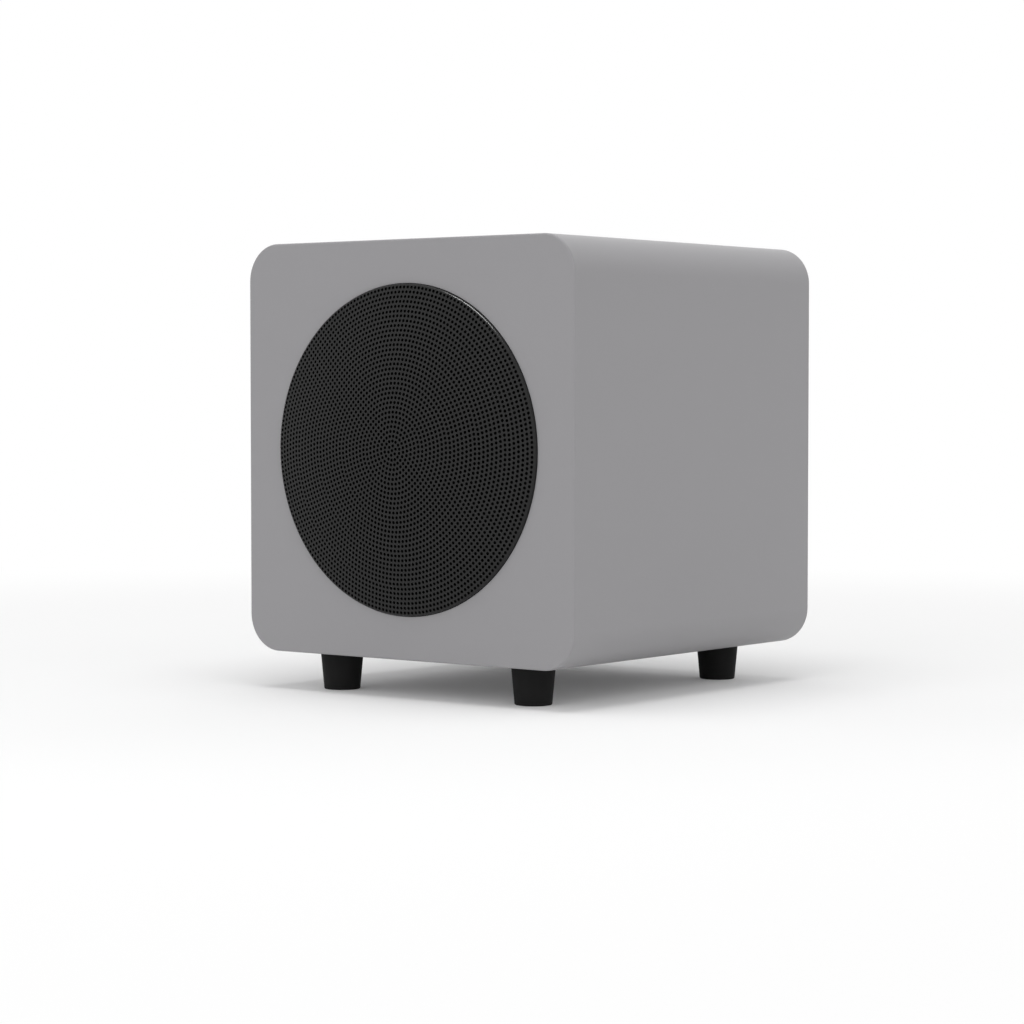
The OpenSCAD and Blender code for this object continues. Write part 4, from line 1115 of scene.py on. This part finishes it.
# %% World
wall_light = 1.24
world = bpy.data.worlds.new("Studio")
bpy.context.scene.world = world
world.use_nodes = True
sky = world.node_tree
walls = sky.nodes["Background"]
walls.inputs["Color"].default_value = (1, 1, 1, 1)
plain = sky.nodes.new("ShaderNodeBackground")
plain.inputs["Color"].default_value = (1, 1, 1, 1)
plain.inputs["Strength"].default_value = 1
direction = sky.nodes.new("ShaderNodeTexCoord")
parts = sky.nodes.new("ShaderNodeSeparateXYZ")
band = sky.nodes.new("ShaderNodeValToRGB")
stops = band.color_ramp.elements
stops[0].position, stops[0].color = 0.2, (0.12, 0.12, 0.12, 1)
stops[1].position, stops[1].color = 0.78, (0.08, 0.08, 0.08, 1)
for position in (0.3, 0.65):
    stops.new(position).color = (1, 1, 1, 1)
either = sky.nodes.new("ShaderNodeMixShader")
join(sky, (direction.outputs["Generated"], parts.inputs["Vector"]), (parts.outputs["Z"], band.inputs["Fac"]),
     (add_math(sky, "MULTIPLY", band.outputs["Color"], wall_light), walls.inputs["Strength"]),
     (seen_rays(sky), either.inputs["Fac"]), (walls.outputs[0], either.inputs[1]),
     (plain.outputs[0], either.inputs[2]),
     (either.outputs[0], sky.nodes["World Output"].inputs["Surface"]))
print("world lit")

# %% [markdown]
# A large softbox hangs over the object and a weak lamp fills the front. Neither shows in a reflection, so
# the satin paint stays even. The rim lamp does the opposite: it gives no diffuse light, only gloss, and
# light linking lets it reach the grille alone, where it draws the thin line of light on the upper shoulder.

# %% Lamps
def add_lamp(name, place, aim, size, power):
    lamp = bpy.data.lights.new(name, "AREA")
    lamp.shape = "DISK"
    lamp.size = size
    lamp.energy = power
    obj = bpy.data.objects.new(name, lamp)
    bpy.context.scene.collection.objects.link(obj)
    obj.location = place
    way = [b - a for a, b in zip(place, aim)]
    obj.rotation_euler = (math.atan2(math.hypot(way[0], way[1]), -way[2]), 0, math.atan2(-way[0], way[1]))
    return obj


middle_point = (0, 0, axis_z)
add_lamp("softbox", (0.1, -0.2, 1.53), middle_point, 1.2, 11.9).visible_glossy = False
add_lamp("front_fill", (0.32, -1.8, 0.6), middle_point, 0.9, 2.2).visible_glossy = False
rim_lamp = add_lamp("rim_lamp", (-0.02, -0.6, 1.4), middle_point, 0.7, 75)
rim_lamp.visible_diffuse = False
grille_only = bpy.data.collections.new("grille_only")
grille_only.objects.link(grille_sheet)
rim_lamp.light_linking.receiver_collection = grille_only
print("lamps hung")

# %% [markdown]
# The camera stands about 1.6 metres from the cabinet's middle, at the height of its upper half, nearly 40
# degrees to the right of the front. Its lens is long, so the cube shows its front and its right side with
# little perspective.

# %% Camera
lens_data = bpy.data.cameras.new("camera")
lens_data.lens = 100.72
lens_data.sensor_width = 36
lens_data.clip_start = 0.05
camera = bpy.data.objects.new("camera", lens_data)
bpy.context.scene.collection.objects.link(camera)
camera.location = (0.9681, front_y - 1.1567, cabinet_low[2] + 0.1436)
camera.rotation_euler = (math.radians(90 - 2.473), 0, math.radians(37.788))
bpy.context.scene.camera = camera
bpy.context.scene.view_settings.view_transform = "Standard"
print("camera at", [round(v, 3) for v in camera.location], "m")

# %% [markdown]
# ## Shown size
# The box of everything that the finished model shows is printed, in millimetres.

# %% Finish
low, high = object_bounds()
print("shown from", [round(v / MM, 2) for v in low], "to", [round(v / MM, 2) for v in high], "mm")
